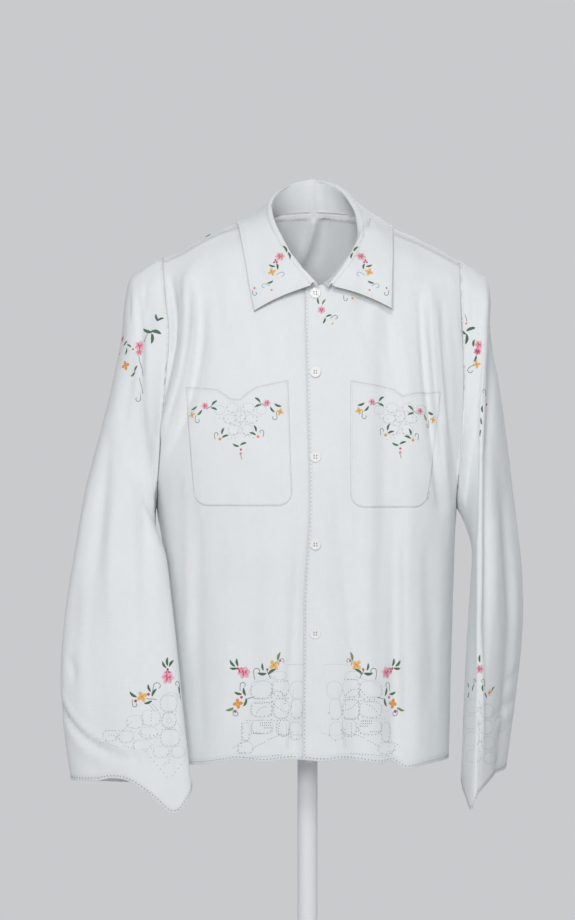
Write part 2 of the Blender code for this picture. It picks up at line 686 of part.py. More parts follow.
def turned_piece(name, profile, collection, finish, steps):
    """A turned shape about its own Z axis. The profile runs down the outer side."""
    mesh = bpy.data.meshes.new(name)
    points = [(r * MM, 0, z * MM) for r, z in profile]
    mesh.from_pydata(points, [(i, i + 1) for i in range(len(points) - 1)], [])
    obj = place(bpy.data.objects.new(name, mesh), collection, finish)
    turn = obj.modifiers.new("Turn", "SCREW")
    turn.steps = steps
    turn.render_steps = steps
    turn.use_merge_vertices = True
    turn.merge_threshold = 0.00001
    return obj


def tube_piece(name, points, radius, collection, finish):
    curve = bpy.data.curves.new(name, "CURVE")
    curve.dimensions = "3D"
    curve.bevel_depth = radius * MM
    curve.bevel_resolution = 3
    curve.use_fill_caps = True
    line = curve.splines.new("POLY")
    line.points.add(len(points) - 1)
    for spot, point in zip(line.points, points):
        spot.co = (*(value * MM for value in point), 1.0)
    return place(bpy.data.objects.new(name, curve), collection, finish)


def arm_path():
    """The stand's arms: up from the yoke under each side of the neck, then out below the shoulder line."""
    drop = CLOTH + ARM_CLEARANCE + ARM_RADIUS
    left_drop = drop / math.cos(math.radians(24))
    right_drop = drop / math.cos(math.radians(28))
    inner_left = [(-74, 0, 1393), (-60, 0, 1381), (-44, 0, 1358), (-26, 0, 1326), (-10, 0, 1299)]
    inner_right = [(10, 0, 1299), (28, 0, 1325), (50, 0, 1352), (70, 0, 1376), (88, 0, 1388)]
    left = [(x, 0, float(ridge_height(x, FRONT)) - left_drop) for x in range(-172, -88, 12)]
    right = [(x, 0, float(ridge_height(x, FRONT)) - right_drop) for x in range(108, 184, 12)]
    guide = left + inner_left + [(0, 0, YOKE_LOW)] + inner_right + right
    return [guide_curve(guide, i / ARM_STEPS) for i in range(ARM_STEPS + 1)]


def guide_curve(points, share):
    table = [(i / (len(points) - 1), *p) for i, p in enumerate(points)]
    return tuple(float(along(table, share, k)) for k in (1, 2, 3))


def add_buttons(panel, collection, finish):
    rim = BUTTON_RADIUS
    half = BUTTON_THICK / 2
    profile = [
        (0, half * 0.55), (rim * 0.62, half * 0.55), (rim * 0.74, half), (rim * 0.9, half),
        (rim, half * 0.3), (rim, -half * 0.3), (rim * 0.88, -half), (0, -half),
    ]
    for i, height in enumerate(BUTTON_HEIGHTS, start=1):
        obj = turned_piece(f"button_{i}", profile, collection, finish, BUTTON_SIDES)
        point, normal = grid_at(panel, BUTTON_X, height)
        seat = point + normal * (BUTTON_THICK / 2 + BUTTON_SEAT)
        turn = Vector(normal).to_track_quat("Z", "Y").to_matrix().to_4x4()
        obj.matrix_world = Matrix.Translation(Vector(seat) * MM) @ turn


def add_stand(collection, finish):
    plate = [
        (0, BASE_HEIGHT), (BASE_RADIUS - 2, BASE_HEIGHT), (BASE_RADIUS, BASE_HEIGHT - 2),
        (BASE_RADIUS, 1), (BASE_RADIUS - 1, 0), (0, 0),
    ]
    turned_piece("stand_base", plate, collection, finish, 48)
    top = YOKE_LOW - ARM_RADIUS - STAND_GAP
    foot = BASE_HEIGHT + STAND_GAP
    pole = [
        (0, top), (POLE_RADIUS - 1, top), (POLE_RADIUS, top - 1),
        (POLE_RADIUS, foot + 0.5), (POLE_RADIUS - 0.5, foot), (0, foot),
    ]
    turned_piece("stand_pole", pole, collection, finish, 28)
    tube_piece("stand_arms", arm_path(), ARM_RADIUS, collection, finish)


def main():
    for obj in list(bpy.data.objects):
        bpy.data.objects.remove(obj, do_unlink=True)
    collection = bpy.data.collections.new("Long-sleeve shirt on a stand")
    bpy.context.scene.collection.children.link(collection)
    white = material("White button", (0.8, 0.8, 0.78), 0.25)
    painted = material("White painted steel", (0.82, 0.83, 0.84), 0.35)

    under = under_front_grid()
    over = over_front_grid()
    left = sleeve_grid(LEFT_SLEEVE, -1, LEFT_SLEEVE_POWER, LEFT_SLEEVE_FOLDS, LEFT_CUFF_FRONT)
    right = sleeve_grid(RIGHT_SLEEVE, 1, RIGHT_SLEEVE_POWER, RIGHT_SLEEVE_FOLDS, RIGHT_CUFF_FRONT)
    cloth_piece("front_wearer_right", under, CLOTH, collection, linen("right front"), flip=True)
    cloth_piece("front_wearer_left", over, CLOTH, collection, linen("left front"))
    cloth_piece("back", back_grid(), CLOTH, collection, linen("back"), flip=True)
    cloth_piece("sleeve_wearer_right", left, CLOTH, collection, linen("right sleeve"), True, True)
    cloth_piece("sleeve_wearer_left", right, CLOTH, collection, linen("left sleeve"), True)
    cloth_piece("collar", collar_grid(), COLLAR_CLOTH, collection, linen("collar"), flip=True)
    left_pocket = pocket_grid(under, LEFT_POCKET)
    right_pocket = pocket_grid(over, RIGHT_POCKET)
    cloth_piece("pocket_wearer_right", left_pocket, POCKET_CLOTH, collection, linen("right pocket"))
    cloth_piece("pocket_wearer_left", right_pocket, POCKET_CLOTH, collection, linen("left pocket"))
    add_buttons(over, collection, white)
    add_stand(collection, painted)


main()
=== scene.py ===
"""Looks of the long-sleeve shirt on a stand: cloth shells, embroidery, sewing, stand and stage.

Metres in Blender, millimetres in the tables, +Z up, the shirt's front at -Y. Left and right are
the viewer's. The cloth's form repeats the source's sections, made finer, with creases laid on it.
"""

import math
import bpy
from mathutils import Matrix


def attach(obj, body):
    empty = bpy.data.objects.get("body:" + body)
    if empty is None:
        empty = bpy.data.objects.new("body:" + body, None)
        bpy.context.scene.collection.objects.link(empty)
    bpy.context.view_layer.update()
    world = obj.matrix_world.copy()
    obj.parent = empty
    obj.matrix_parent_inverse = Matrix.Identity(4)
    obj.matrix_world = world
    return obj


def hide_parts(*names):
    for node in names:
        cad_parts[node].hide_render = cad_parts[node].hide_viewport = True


bl_info = {
    "name": "Embroidered shirt looks",
    "version": (1, 0, 0),
    "blender": (4, 5, 0),
    "location": "View3D > Sidebar > Shirt",
    "description": "Dresses the packed shirt model with cloth, embroidery and a studio",
    "category": "Object",
}

from collections import namedtuple

import bpy
import numpy as np
from mathutils import Vector, noise
from mathutils.bvhtree import BVHTree

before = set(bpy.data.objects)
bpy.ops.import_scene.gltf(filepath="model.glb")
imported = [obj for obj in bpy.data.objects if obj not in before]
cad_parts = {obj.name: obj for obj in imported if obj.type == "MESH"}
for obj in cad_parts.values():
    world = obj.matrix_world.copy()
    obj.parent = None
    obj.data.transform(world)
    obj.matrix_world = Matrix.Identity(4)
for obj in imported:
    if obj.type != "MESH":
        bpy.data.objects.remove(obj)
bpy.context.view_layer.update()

MM = 0.001
SEAM_GAP = 0.5

# The shirt's body
ARMPIT = 1049.0
CENTRE_LINE = 11.0
FRONT_DEPTH = 104.0
BACK_DEPTH = 97.0
SECTION_POWER = 2.6
NECK_HALF_WIDTH = 66.0
NECK_HALF_DEPTH = 59.0
NECK_CENTRE_Y = -10.0
NECK_LEVEL = 1380.0
BACK_NECK_RISE = 64.0
SEAM_TURN = 0.196
SEAM_DRAW_BACK = 0.06
OVERLAP_EDGE = 24.0
OVERLAP_LIFT = 2.6
LIFT_ENDS = (40.0, 62.0)
ARMHOLE_SIDE = 150.0

# Mesh steps, how the upper rows crowd and lean, and the passes that fit a row to its edges
LOWER_ROWS = 10
UPPER_ROWS = 12
FRONT_NECK_COLUMNS = 5
SHOULDER_COLUMNS = 10
BACK_SHOULDER_COLUMNS = 6
BACK_NECK_COLUMNS = 8
SLEEVE_RINGS = 21
ROW_CROWDING = 1.4
COLUMN_LEAN = 1.3
FIT_PASSES = 6

# The buttons. The dish is a share of half their thickness, and the holes lie off the middle both ways
BUTTON_THICK = 2.4
BUTTON_SEAT = 0.35
BUTTON_X = 9.0
BUTTON_DISH = 0.55
HOLE_OFFSET = 1.5
BUTTON_HEIGHTS = (1313.0, 1216.0, 1112.5, 1006.0, 897.5)

# A button's threads: half their width, how far their ends and their arch stand out and their round top,
# and the discs of painted shade that stand for its holes
THREAD_HALF = 0.55
THREAD_ENDS = 0.1
THREAD_ARCH = 0.8
THREAD_TOP = 0.3
DARK_RADIUS = 0.95
DARK_SIDES = 8


def listed(kind, *values):
    """A table with one kind of row."""
    return tuple(kind(*value) for value in values)


# The shoulders' ridge, seen from the front
Ridge = namedtuple("Ridge", "across height")
SHOULDER_RIDGE = listed(
    Ridge,
    (-221, 1330), (-209, 1344), (-184, 1360), (-159, 1371), (-134, 1386), (-109, 1398), (-84, 1406),
    (-55, 1412), (11, 1415), (77, 1410), (104, 1399), (140, 1384), (165, 1371), (190, 1357), (208, 1344),
    (224, 1328),
)

# Where the ellipse of the body's section ends: the side seams, and wider than the cloth above them
Width = namedtuple("Width", "height left right")
SECTION_WIDTHS = listed(
    Width,
    (700, -168, 175), (728, -168, 176), (850, -172, 179), (950, -176, 182), (1010, -182, 184),
    (1049, -188, 186), (1095, -203, 203), (1200, -214, 216), (1361, -224, 230), (1420, -226, 233),
)
PIT = next(row for row in SECTION_WIDTHS if row.height == ARMPIT)
ARMHOLES = listed(
    Width,
    (1049, -188, 186), (1084, -185, 186), (1130, -181, 189), (1184, -177, 192), (1221, -174, 193),
    (1259, -171, 191), (1309, -176, 189.5), (1361, -181, 189.5),
)

# The closing edge of the front that lies on top, and both hems
Edge = namedtuple("Edge", "height across")
FRONT_EDGE = listed(
    Edge,
    (1330, -3.5), (1300, -3.5), (1182, -1.0), (1027, 0.5), (960, -4.5), (860, -6.0), (740, -7.0),
)
FRONT_HEM = listed(
    Ridge,
    (-168, 731), (-141, 734), (-114, 738), (-84, 743), (-56, 740), (-28, 743.5), (-8, 744), (10, 741),
    (36, 744), (68, 741), (90, 738), (102, 741), (116, 732), (145, 735), (176, 738),
)
BACK_HEM = listed(
    Ridge,
    (-168, 731), (-110, 735), (-40, 731), (30, 734), (100, 730), (176, 738),
)

# Soft folds of the body: how far each stands out (in, if negative), its half-width and its straight run
Fold = namedtuple("Fold", "side out spread top bottom across_top across_bottom")
FRONT, BACK = -1, 1
BODY_FOLDS = listed(
    Fold,
    (FRONT, 12.0, 11.0, 1376, 1215, -149, -158), (FRONT, 12.0, 12.0, 1262, 1095, -157, -184),
    (FRONT, -6.0, 10.0, 1350, 1150, -126, -138), (FRONT, 8.0, 10.0, 1345, 1080, 154, 178),
    (FRONT, -6.0, 13.0, 1330, 1090, 134, 156), (FRONT, -10.0, 15.0, 1320, 700, 96, 104),
    (FRONT, 5.0, 17.0, 1060, 690, 128, 138), (FRONT, -5.0, 15.0, 1010, 690, -10, -26),
    (FRONT, -5.0, 14.0, 1100, 690, 42, 58), (FRONT, -4.0, 26.0, 1010, 690, -62, -70),
    (BACK, -9.0, 20.0, 1340, 690, -72, -84), (BACK, -7.0, 17.0, 1300, 690, 66, 88),
    (BACK, 7.0, 19.0, 1250, 690, -118, -128), (BACK, 6.0, 22.0, 1180, 690, 6, -10),
    (BACK, 7.0, 16.0, 1220, 690, 122, 134),
)
FOLD_FADE = 70.0

# A sleeve's ring: outer and inner point (x, y, z), how deep it is before and behind the line between them,
# and how far along that line, from the outer point, the deepest points lie
Ring = namedtuple("Ring", "along outer inner front back front_at back_at")
LEFT_SLEEVE = listed(
    Ring,
    (0.00, (-181, 0, 1360), (-188, 0, 1049), 50, 48, 0.50, 0.50),
    (0.08, (-203, 0, 1348), (-190, -3, 1045), 50, 48, 0.50, 0.50),
    (0.15, (-223, -1, 1331), (-191, -7, 1040), 46, 45, 0.48, 0.50),
    (0.24, (-233, -6, 1262), (-190, -14, 1032), 40, 42, 0.46, 0.50),
    (0.34, (-248.5, -14, 1184), (-188, -22, 1023), 35, 38, 0.46, 0.50),
    (0.44, (-264, -22, 1120), (-183, -31, 1011), 32, 34, 0.48, 0.48),
    (0.54, (-280, -30, 1052), (-176, -41, 992), 30, 31, 0.50, 0.46),
    (0.64, (-291, -38, 985), (-170, -51, 955), 29, 29, 0.52, 0.46),
    (0.74, (-300, -46, 916), (-163, -63, 896), 28, 27, 0.54, 0.46),
    (0.84, (-305, -55, 840), (-156.5, -75, 838), 27, 25, 0.55, 0.46),
    (0.92, (-300, -60, 778), (-149, -86, 776), 26, 24, 0.56, 0.46),
    (1.00, (-291.5, -63, 716), (-141, -94, 716), 25, 23, 0.56, 0.46),
)
RIGHT_SLEEVE = listed(
    Ring,
    (0.00, (189.5, 0, 1357), (186, 0, 1049), 50, 48, 0.50, 0.50),
    (0.08, (208, 0, 1345), (188, -1, 1045), 50, 49, 0.42, 0.48),
    (0.15, (226, 0, 1329), (191, -2, 1040), 50, 50, 0.36, 0.46),
    (0.24, (230, 7, 1268), (195, -4, 1031), 53, 50, 0.50, 0.43),
    (0.34, (243, 15, 1190), (199, -7, 1019), 57, 49, 0.72, 0.40),
    (0.44, (253, 22, 1112), (203, -11, 1004), 60, 48, 0.84, 0.38),
    (0.54, (262, 26, 1042), (204, -15, 984), 62, 46, 0.87, 0.36),
    (0.64, (270, 28, 968), (202, -19, 946), 64, 43, 0.88, 0.35),
    (0.74, (271, 26, 900), (198.5, -23, 886), 64, 41, 0.86, 0.35),
    (0.84, (264, 22, 830), (195.5, -27, 828), 64, 38, 0.80, 0.36),
    (0.92, (257, 18, 776), (193, -30, 776), 63, 36, 0.77, 0.37),
    (1.00, (249.5, 14, 723), (190, -33, 716), 62, 34, 0.73, 0.38),
)

# The pointed edge of each cuff: share of the way round the front half from the outer point, and its drop
Drop = namedtuple("Drop", "share drop")
LEFT_CUFF_FRONT = listed(
    Drop,
    (0.0, 0.0), (0.30, -1.0), (0.44, -4.0), (0.58, 18.0), (0.74, 38.0), (0.84, 24.0), (1.0, 6.0),
)
RIGHT_CUFF_FRONT = listed(
    Drop,
    (0.0, 0.0), (0.30, 4.0), (0.50, 22.0), (0.66, 38.0), (0.80, 22.0), (1.0, 3.0),
)
CUFF_BACK = listed(
    Drop,
    (0.0, 0.0), (0.5, 4.0), (1.0, 4.0),
)
CUFF_REACH = 0.14
ARMHOLE_REACH = 0.34

# How square (under 1) or pinched (over 1) a sleeve's section is
LEFT_SLEEVE_POWER = 0.92
RIGHT_SLEEVE_POWER = 1.25

# Lengthwise folds of a sleeve: which half, share across it, the stretch of the sleeve and the depth
SleeveFold = namedtuple("SleeveFold", "half share spread start end out")
LEFT_SLEEVE_FOLDS = listed(
    SleeveFold,
    (FRONT, 0.36, 0.06, 0.02, 0.34, -4.0), (FRONT, 0.52, 0.09, 0.30, 0.96, 4.0),
    (FRONT, 0.30, 0.08, 0.40, 0.90, -3.5), (FRONT, 0.72, 0.07, 0.36, 0.86, -3.5),
    (BACK, 0.40, 0.09, 0.30, 1.00, -5.0), (BACK, 0.62, 0.08, 0.20, 0.90, 4.0),
)
RIGHT_SLEEVE_FOLDS = listed(
    SleeveFold,
    (FRONT, 0.22, 0.07, 0.40, 1.00, -5.0), (FRONT, 0.36, 0.06, 0.30, 0.95, 4.0),
    (BACK, 0.35, 0.09, 0.30, 1.00, -5.0), (BACK, 0.65, 0.09, 0.25, 0.95, 4.0),
)

# The collar's guide lines, from the left front round the back to the right front
Guide = namedtuple("Guide", "share x y z")
ROLL_LINE = listed(
    Guide,
    (0.00, 12, -82, 1326), (0.10, -12, -71, 1354), (0.19, -28, -55, 1380), (0.29, -43, -28, 1413),
    (0.36, -44, -4, 1434), (0.45, -23, 33, 1456), (0.52, 6, 46, 1464), (0.59, 36, 34, 1455),
    (0.67, 57, 2, 1427), (0.75, 62, -24, 1401), (0.82, 60, -43, 1382), (0.90, 49, -64, 1359),
    (1.00, 24, -84, 1325),
)
OUTER_EDGE = listed(
    Guide,
    (0.00, -66, -79, 1291), (0.08, -72, -68, 1320), (0.16, -79, -50, 1362), (0.24, -86, -24, 1397),
    (0.31, -88, 6, 1407), (0.41, -56, 57, 1402), (0.50, 8, 79, 1396), (0.59, 72, 59, 1400),
    (0.68, 104, 6, 1402), (0.75, 106, -24, 1391), (0.84, 105, -53, 1355), (0.92, 104, -70, 1322),
    (1.00, 103, -80, 1294),
)
COLLAR_COLUMNS = 26
ROLL_RADIUS = 4.0
STAND_STEPS = 2
ROLL_STEPS = 4
FALL_STEPS = 4
FALL_BULGE = 3.0
FALL_CLEARANCE = 3.2
FOOT_START = 0.02
FOOT_RISE = 1.0
FOOT_OUT = 1.5
FOOT_FRONT = 0.3
OVER_FOOT = 0.06
NECK_INSIDE = 0.9

# A pocket's outline on its front: top edge as (share across, height), the sides, the bottom and how far
# the lower corners are rounded
PocketCut = namedtuple("PocketCut", "top left_top right_top left_low right_low bottom corner")
LEFT_POCKET = PocketCut(
    (
        (0.0, 1198), (0.3, 1195), (0.38, 1189), (0.44, 1183), (0.54, 1183), (0.6, 1190), (0.7, 1198),
        (1.0, 1206),
    ),
    -149.5, -24.5, -139, -19.5, 1053.0, 17.0,
)
RIGHT_POCKET = PocketCut(
    ((0.0, 1205.5), (0.34, 1199), (0.48, 1195), (0.58, 1187), (0.72, 1191), (1.0, 1192)),
    52.0, 162.5, 52.0, 146.5, 1051.0, 17.0,
)
POCKET_STEPS = 12


def along(table, value, column=1, key=0):
    """A smooth curve through one column of a table, held level past its ends."""
    rows = sorted(table, key=lambda row: row[key])
    xs = np.array([row[key] for row in rows], float)
    ys = np.array([row[column] for row in rows], float)
    slopes = np.gradient(ys, xs)
    value = np.clip(np.asarray(value, float), xs[0], xs[-1])
    i = np.clip(np.searchsorted(xs, value, side="right") - 1, 0, len(xs) - 2)
    width = xs[i + 1] - xs[i]
    t = (value - xs[i]) / width
    return (
        (2 * t**3 - 3 * t**2 + 1) * ys[i]
        + (t**3 - 2 * t**2 + t) * width * slopes[i]
        + (3 * t**2 - 2 * t**3) * ys[i + 1]
        + (t**3 - t**2) * width * slopes[i + 1]
    )


def smooth_step(value):
    t = np.clip(value, 0.0, 1.0)
    return t * t * (3 - 2 * t)


def fold_relief(x, z, side):
    """How far the folds of one side of the body stand out at a point."""
    total = np.zeros(np.broadcast(x, z).shape)
    for fold in BODY_FOLDS:
        if fold.side != side:
            continue
        run = (fold.top - z) / (fold.top - fold.bottom)
        middle = fold.across_top + (fold.across_bottom - fold.across_top) * run
        fade = smooth_step((fold.top - z) / FOLD_FADE) * smooth_step((z - fold.bottom) / FOLD_FADE)
        total = total + fold.out * fade * np.exp(-(((x - middle) / fold.spread) ** 2))
    return total


def ridge_height(x, side):
    """The shoulder line. Behind the neck it rises, so that the back reaches up to the collar."""
    inside = np.clip(1 - ((x - CENTRE_LINE) / NECK_HALF_WIDTH) ** 2, 0, None)
    rise = np.where(np.asarray(side) > 0, BACK_NECK_RISE * inside**1.5, 0.0)
    return along(SHOULDER_RIDGE, x) + rise


def section_roundness(x, z):
    left = along(SECTION_WIDTHS, z, 1)
    right = along(SECTION_WIDTHS, z, 2)
    share = np.clip(np.abs((x - (left + right) / 2) / ((right - left) / 2)), 0, 1)
    return np.sqrt(np.clip(1 - share**SECTION_POWER, 0, 1))


def body_point(x, turn):
    """A point of the body above the armpits. The turn is 0 on the shoulder line, negative before it."""
    side = np.where(turn < 0, FRONT, BACK)
    z = ARMPIT + (ridge_height(x, side) - ARMPIT) * np.cos(turn)
    depth = np.where(turn < 0, FRONT_DEPTH, BACK_DEPTH)
    y = depth * section_roundness(x, z) * np.sin(turn)
    relief = np.where(turn < 0, fold_relief(x, z, FRONT), fold_relief(x, z, BACK))
    y = y + side * relief * np.abs(np.sin(turn))
    return np.stack([x, y, z], axis=-1)


def body_low_point(x, z, side):
    """A point of the body below the armpits."""
    round_in = section_roundness(x, z)
    depth = FRONT_DEPTH if side == FRONT else BACK_DEPTH
    y = side * (depth * round_in + fold_relief(x, z, side) * np.minimum(1, 2 * round_in))
    return np.stack([x, y, z], axis=-1)


def neck_turn(x, side):
    """The turn at which the neckline crosses the column at x."""
    across = np.clip(1 - ((x - CENTRE_LINE) / NECK_HALF_WIDTH) ** 2, 0, 1)
    y = NECK_CENTRE_Y + side * NECK_HALF_DEPTH * np.sqrt(across)
    depth = FRONT_DEPTH if side == FRONT else BACK_DEPTH
    return np.arcsin(np.clip(y / (depth * section_roundness(x, NECK_LEVEL)), -1, 1))


def row_shares(side):
    """Turns of the rows above the armpits as shares of the way from the armpit to the seam."""
    rise = [1 - (1 - i / UPPER_ROWS) ** ROW_CROWDING for i in range(UPPER_ROWS - 1)]
    turns = [math.acos(value) for value in rise] + [SEAM_TURN]
    if side == BACK:
        turns += [SEAM_TURN / 2, 0.0, -SEAM_TURN / 2, -SEAM_TURN]
    reach = math.pi / 2 - turns[-1]
    return [(math.pi / 2 - turn) / reach for turn in turns]


def armhole_x(z, hand):
    return along(ARMHOLES, z, 1 if hand < 0 else 2)


def column_shares(low_start, low_end, count):
    """Even turns round the section, so that columns crowd at the side seam."""
    middle, half = (PIT.left + PIT.right) / 2, (PIT.right - PIT.left) / 2
    first = math.asin(np.clip((low_start - middle) / half, -1, 1))
    last = math.asin(np.clip((low_end - middle) / half, -1, 1))
    turns = np.linspace(first, last, count + 1)
    return middle + half * np.sin(turns)


def panel_grid(side, pit_columns, top_columns, inner_edge=None):
    """Rows of points from the hem up to the neckline and shoulder seam of one body panel.

    pit_columns and top_columns are each column's x at the armpits and at the top. An inner edge
    is the line of a front's closing edge, which the first column follows.
    """
    hem_table = FRONT_HEM if side == FRONT else BACK_HEM
    rows = []
    for i in range(LOWER_ROWS):
        share = i / LOWER_ROWS
        x = pit_columns.copy()
        for _ in range(FIT_PASSES):
            hem = along(hem_table, x)
            z = hem + (ARMPIT - hem) * share
            x = np.where(
                pit_columns < 0,
                pit_columns * along(SECTION_WIDTHS, z, 1) / PIT.left,
                pit_columns * along(SECTION_WIDTHS, z, 2) / PIT.right,
            )
            if inner_edge is not None:
                x[0] = along(inner_edge, z[0])
        rows.append(body_low_point(x, z, side))
    for share in row_shares(side):
        ends = np.array([end_turn(x, side) for x in top_columns])
        turns = side * (math.pi / 2) - share * (side * math.pi / 2 - ends)
        move = share**COLUMN_LEAN
        straight = pit_columns * (1 - move) + top_columns * move
        x = straight.copy()
        for _ in range(FIT_PASSES):
            z = body_point(x, turns)[:, 2]
            x = fit_armholes(straight, z)
            if inner_edge is not None:
                x[0] = along(inner_edge, z[0])
        rows.append(body_point(x, turns))
    return np.array(rows)


def fit_armholes(columns, z):
    """Draws a row's columns together, so that the last one lies on the armhole."""
    x = columns.copy()
    for end, hand in ((0, -1), (-1, 1), (-1, -1)):
        if hand * columns[end] > ARMHOLE_SIDE:
            reach = (armhole_x(z[end], hand) - CENTRE_LINE) / (columns[end] - CENTRE_LINE)
            mine = hand * (columns - CENTRE_LINE) > 0
            x[mine] = CENTRE_LINE + (columns[mine] - CENTRE_LINE) * reach
    return x


def end_turn(x, side):
    """Where a column ends: on the neckline inside the neck, else on the shoulder seam in front."""
    if abs(x - CENTRE_LINE) < NECK_HALF_WIDTH:
        turn = float(neck_turn(x, side))
        return min(turn, -SEAM_TURN) if side == FRONT else max(turn, -SEAM_TURN)
    return -SEAM_TURN


def front_grid(hand, start, top_start, inner_edge=None):
    """A front's points, from x at the armpits and at the top out to the side at one hand."""
    side, shoulder_end = (PIT.left, ARMHOLES[-1].left) if hand < 0 else (PIT.right, ARMHOLES[-1].right)
    pit = column_shares(start, side, FRONT_NECK_COLUMNS + SHOULDER_COLUMNS)
    neck_side = CENTRE_LINE + hand * (NECK_HALF_WIDTH - 1)
    neck = np.linspace(top_start, neck_side, FRONT_NECK_COLUMNS + 1)
    shoulder = np.linspace(neck_side, shoulder_end, SHOULDER_COLUMNS + 1)
    return panel_grid(FRONT, pit, np.concatenate([neck, shoulder[1:]]), inner_edge)


def under_front_grid():
    return close_seams(front_grid(-1, OVERLAP_EDGE, OVERLAP_EDGE))


def over_front_grid():
    grid = front_grid(1, float(along(FRONT_EDGE, ARMPIT)), FRONT_EDGE[0].across, FRONT_EDGE)
    grid[:, :, 1] -= over_lift(grid[:, :, 0])
    return close_seams(grid)


def over_lift(x):
    """The wearer's left front stands out where it lies on the other."""
    return OVERLAP_LIFT * (1 - smooth_step((x - LIFT_ENDS[0]) / (LIFT_ENDS[1] - LIFT_ENDS[0])))


def back_grid():
    pit = column_shares(PIT.left, PIT.right, 2 * BACK_SHOULDER_COLUMNS + BACK_NECK_COLUMNS)
    near = CENTRE_LINE - NECK_HALF_WIDTH, CENTRE_LINE + NECK_HALF_WIDTH
    top = np.concatenate([
        np.linspace(ARMHOLES[-1].left, near[0], BACK_SHOULDER_COLUMNS + 1),
        np.linspace(near[0], near[1], BACK_NECK_COLUMNS + 1)[1:-1],
        np.linspace(near[1], ARMHOLES[-1].right, BACK_SHOULDER_COLUMNS + 1),
    ])
    grid = panel_grid(BACK, pit, top)
    grid[: LOWER_ROWS + 1, (0, -1), 1] += SEAM_GAP / 2
    return grid


def close_seams(grid):
    """Draws a front's side seam and shoulder seam back from the back's edges."""
    grid[: LOWER_ROWS + 1, -1, 1] -= SEAM_GAP / 2
    shoulder = slice(FRONT_NECK_COLUMNS, None)
    grid[-1, shoulder] += (grid[-2, shoulder] - grid[-1, shoulder]) * SEAM_DRAW_BACK
    return grid


def armhole_ring(hand):
    """The sleeve's first ring, point for point on the edges of front and back, from the ridge forwards."""
    front_shares, back_shares = row_shares(FRONT), row_shares(BACK)
    front_turns = [-(math.pi / 2 - share * (math.pi / 2 - SEAM_TURN)) for share in front_shares]
    back_turns = [math.pi / 2 - share * (math.pi / 2 + SEAM_TURN) for share in back_shares]
    turns = [back_turns[-3], back_turns[-2]] + front_turns[::-1] + back_turns[1:-3]
    points = []
    for turn in turns:
        x = ARMHOLES[0].left if hand < 0 else ARMHOLES[0].right
        for _ in range(FIT_PASSES):
            point = body_point(np.array(float(x)), np.array(turn))
            x = armhole_x(point[2], hand)
        point = body_point(np.array(float(x)), np.array(turn))
        if hand > 0 and turn < 0:
            point[1] -= over_lift(point[0])
        points.append(point)
    ring = np.array(points)
    ring[:, 0] += hand * SEAM_GAP
    return ring


def ring_value(table, share, name):
    return float(along([(row.along, getattr(row, name)) for row in table], share))


def ring_point(table, share, name):
    return np.array([along([(row.along, getattr(row, name)[k]) for row in table], share) for k in range(3)])


def sleeve_ring(table, share, count, power):
    """One ring of the sleeve's own form, between its outer and inner lines."""
    outer = ring_point(table, share, "outer")
    inner = ring_point(table, share, "inner")
    depth = {FRONT: ring_value(table, share, "front"), BACK: ring_value(table, share, "back")}
    peak = {FRONT: ring_value(table, share, "front_at"), BACK: ring_value(table, share, "back_at")}
    points = []
    for k in range(count):
        angle = 2 * math.pi * k / count
        side = FRONT if angle <= math.pi else BACK
        middle = outer + (inner - outer) * peak[side]
        reach = outer if math.cos(angle) > 0 else inner
        lie = abs(math.cos(angle)) ** power
        rise = abs(math.sin(angle)) ** power
        points.append(middle + (reach - middle) * lie + np.array([0, side * depth[side] * rise, 0]))
    return np.array(points)


def sleeve_grid(table, hand, power, folds, cuff_front):
    first = armhole_ring(hand)
    count = len(first)
    start = sleeve_ring(table, 0.0, count, power)
    rings = []
    for i in range(SLEEVE_RINGS + 1):
        share = i / SLEEVE_RINGS
        ring = sleeve_ring(table, share, count, power)
        ring = ring + (first - start) * (1 - smooth_step(share / ARMHOLE_REACH))
        centre = ring.mean(axis=0)
        for k in range(count):
            half = FRONT if k <= count / 2 else BACK
            across = (k if half == FRONT else count - k) / (count / 2)
            relief = 0.0
            for fold in folds:
                if fold.half != half:
                    continue
                span = (share - fold.start) / (fold.end - fold.start)
                fade = smooth_step(span * 4) * smooth_step((1.0 - span) * 4 + (1 if fold.end == 1 else 0))
                relief += fold.out * fade * math.exp(-(((across - fold.share) / fold.spread) ** 2))
            outward = ring[k] - centre
            ring[k] = ring[k] + outward / np.linalg.norm(outward) * relief
            drops = cuff_front if half == FRONT else CUFF_BACK
            reach = smooth_step((share - (1 - CUFF_REACH)) / CUFF_REACH)
            ring[k, 2] -= float(along(drops, across)) * reach
        rings.append(ring)
    return np.array(rings)


def guide_point(table, share):
    return np.array([float(along(table, share, k)) for k in (1, 2, 3)])


def neckline_point(angle):
    """A point of the neckline, from the front centre (0) round the left and back to the front (1)."""
    turn = 2 * math.pi * angle
    x = CENTRE_LINE - NECK_HALF_WIDTH * math.sin(turn)
    y = NECK_CENTRE_Y - NECK_HALF_DEPTH * math.cos(turn)
    side = FRONT if y < 0 else BACK
    depth = FRONT_DEPTH if side == FRONT else BACK_DEPTH
    lean = math.asin(max(-1, min(1, y / (depth * float(section_roundness(x, NECK_LEVEL))))))
    return body_point(np.array(x), np.array(lean))


def clear_of_body(point, clearance):
    """Moves a point straight out from the body's section until it clears it."""
    x, y, z = point
    side = FRONT if y < 0 else BACK
    depth = (FRONT_DEPTH if side == FRONT else BACK_DEPTH) * float(section_roundness(x, z))
    height = float(ridge_height(x, side)) - ARMPIT
    level = (y / depth) ** 2 + ((z - ARMPIT) / height) ** 2
    slope = np.array([0.0, 2 * y / depth**2, 2 * (z - ARMPIT) / height**2])
    steep = np.linalg.norm(slope)
    gap = (level - 1) / steep
    return point + slope / steep * max(0.0, clearance - gap)


def fall_clearance(point):
    return FALL_CLEARANCE + (float(over_lift(point[0])) if point[0] > 0 else 0.0)


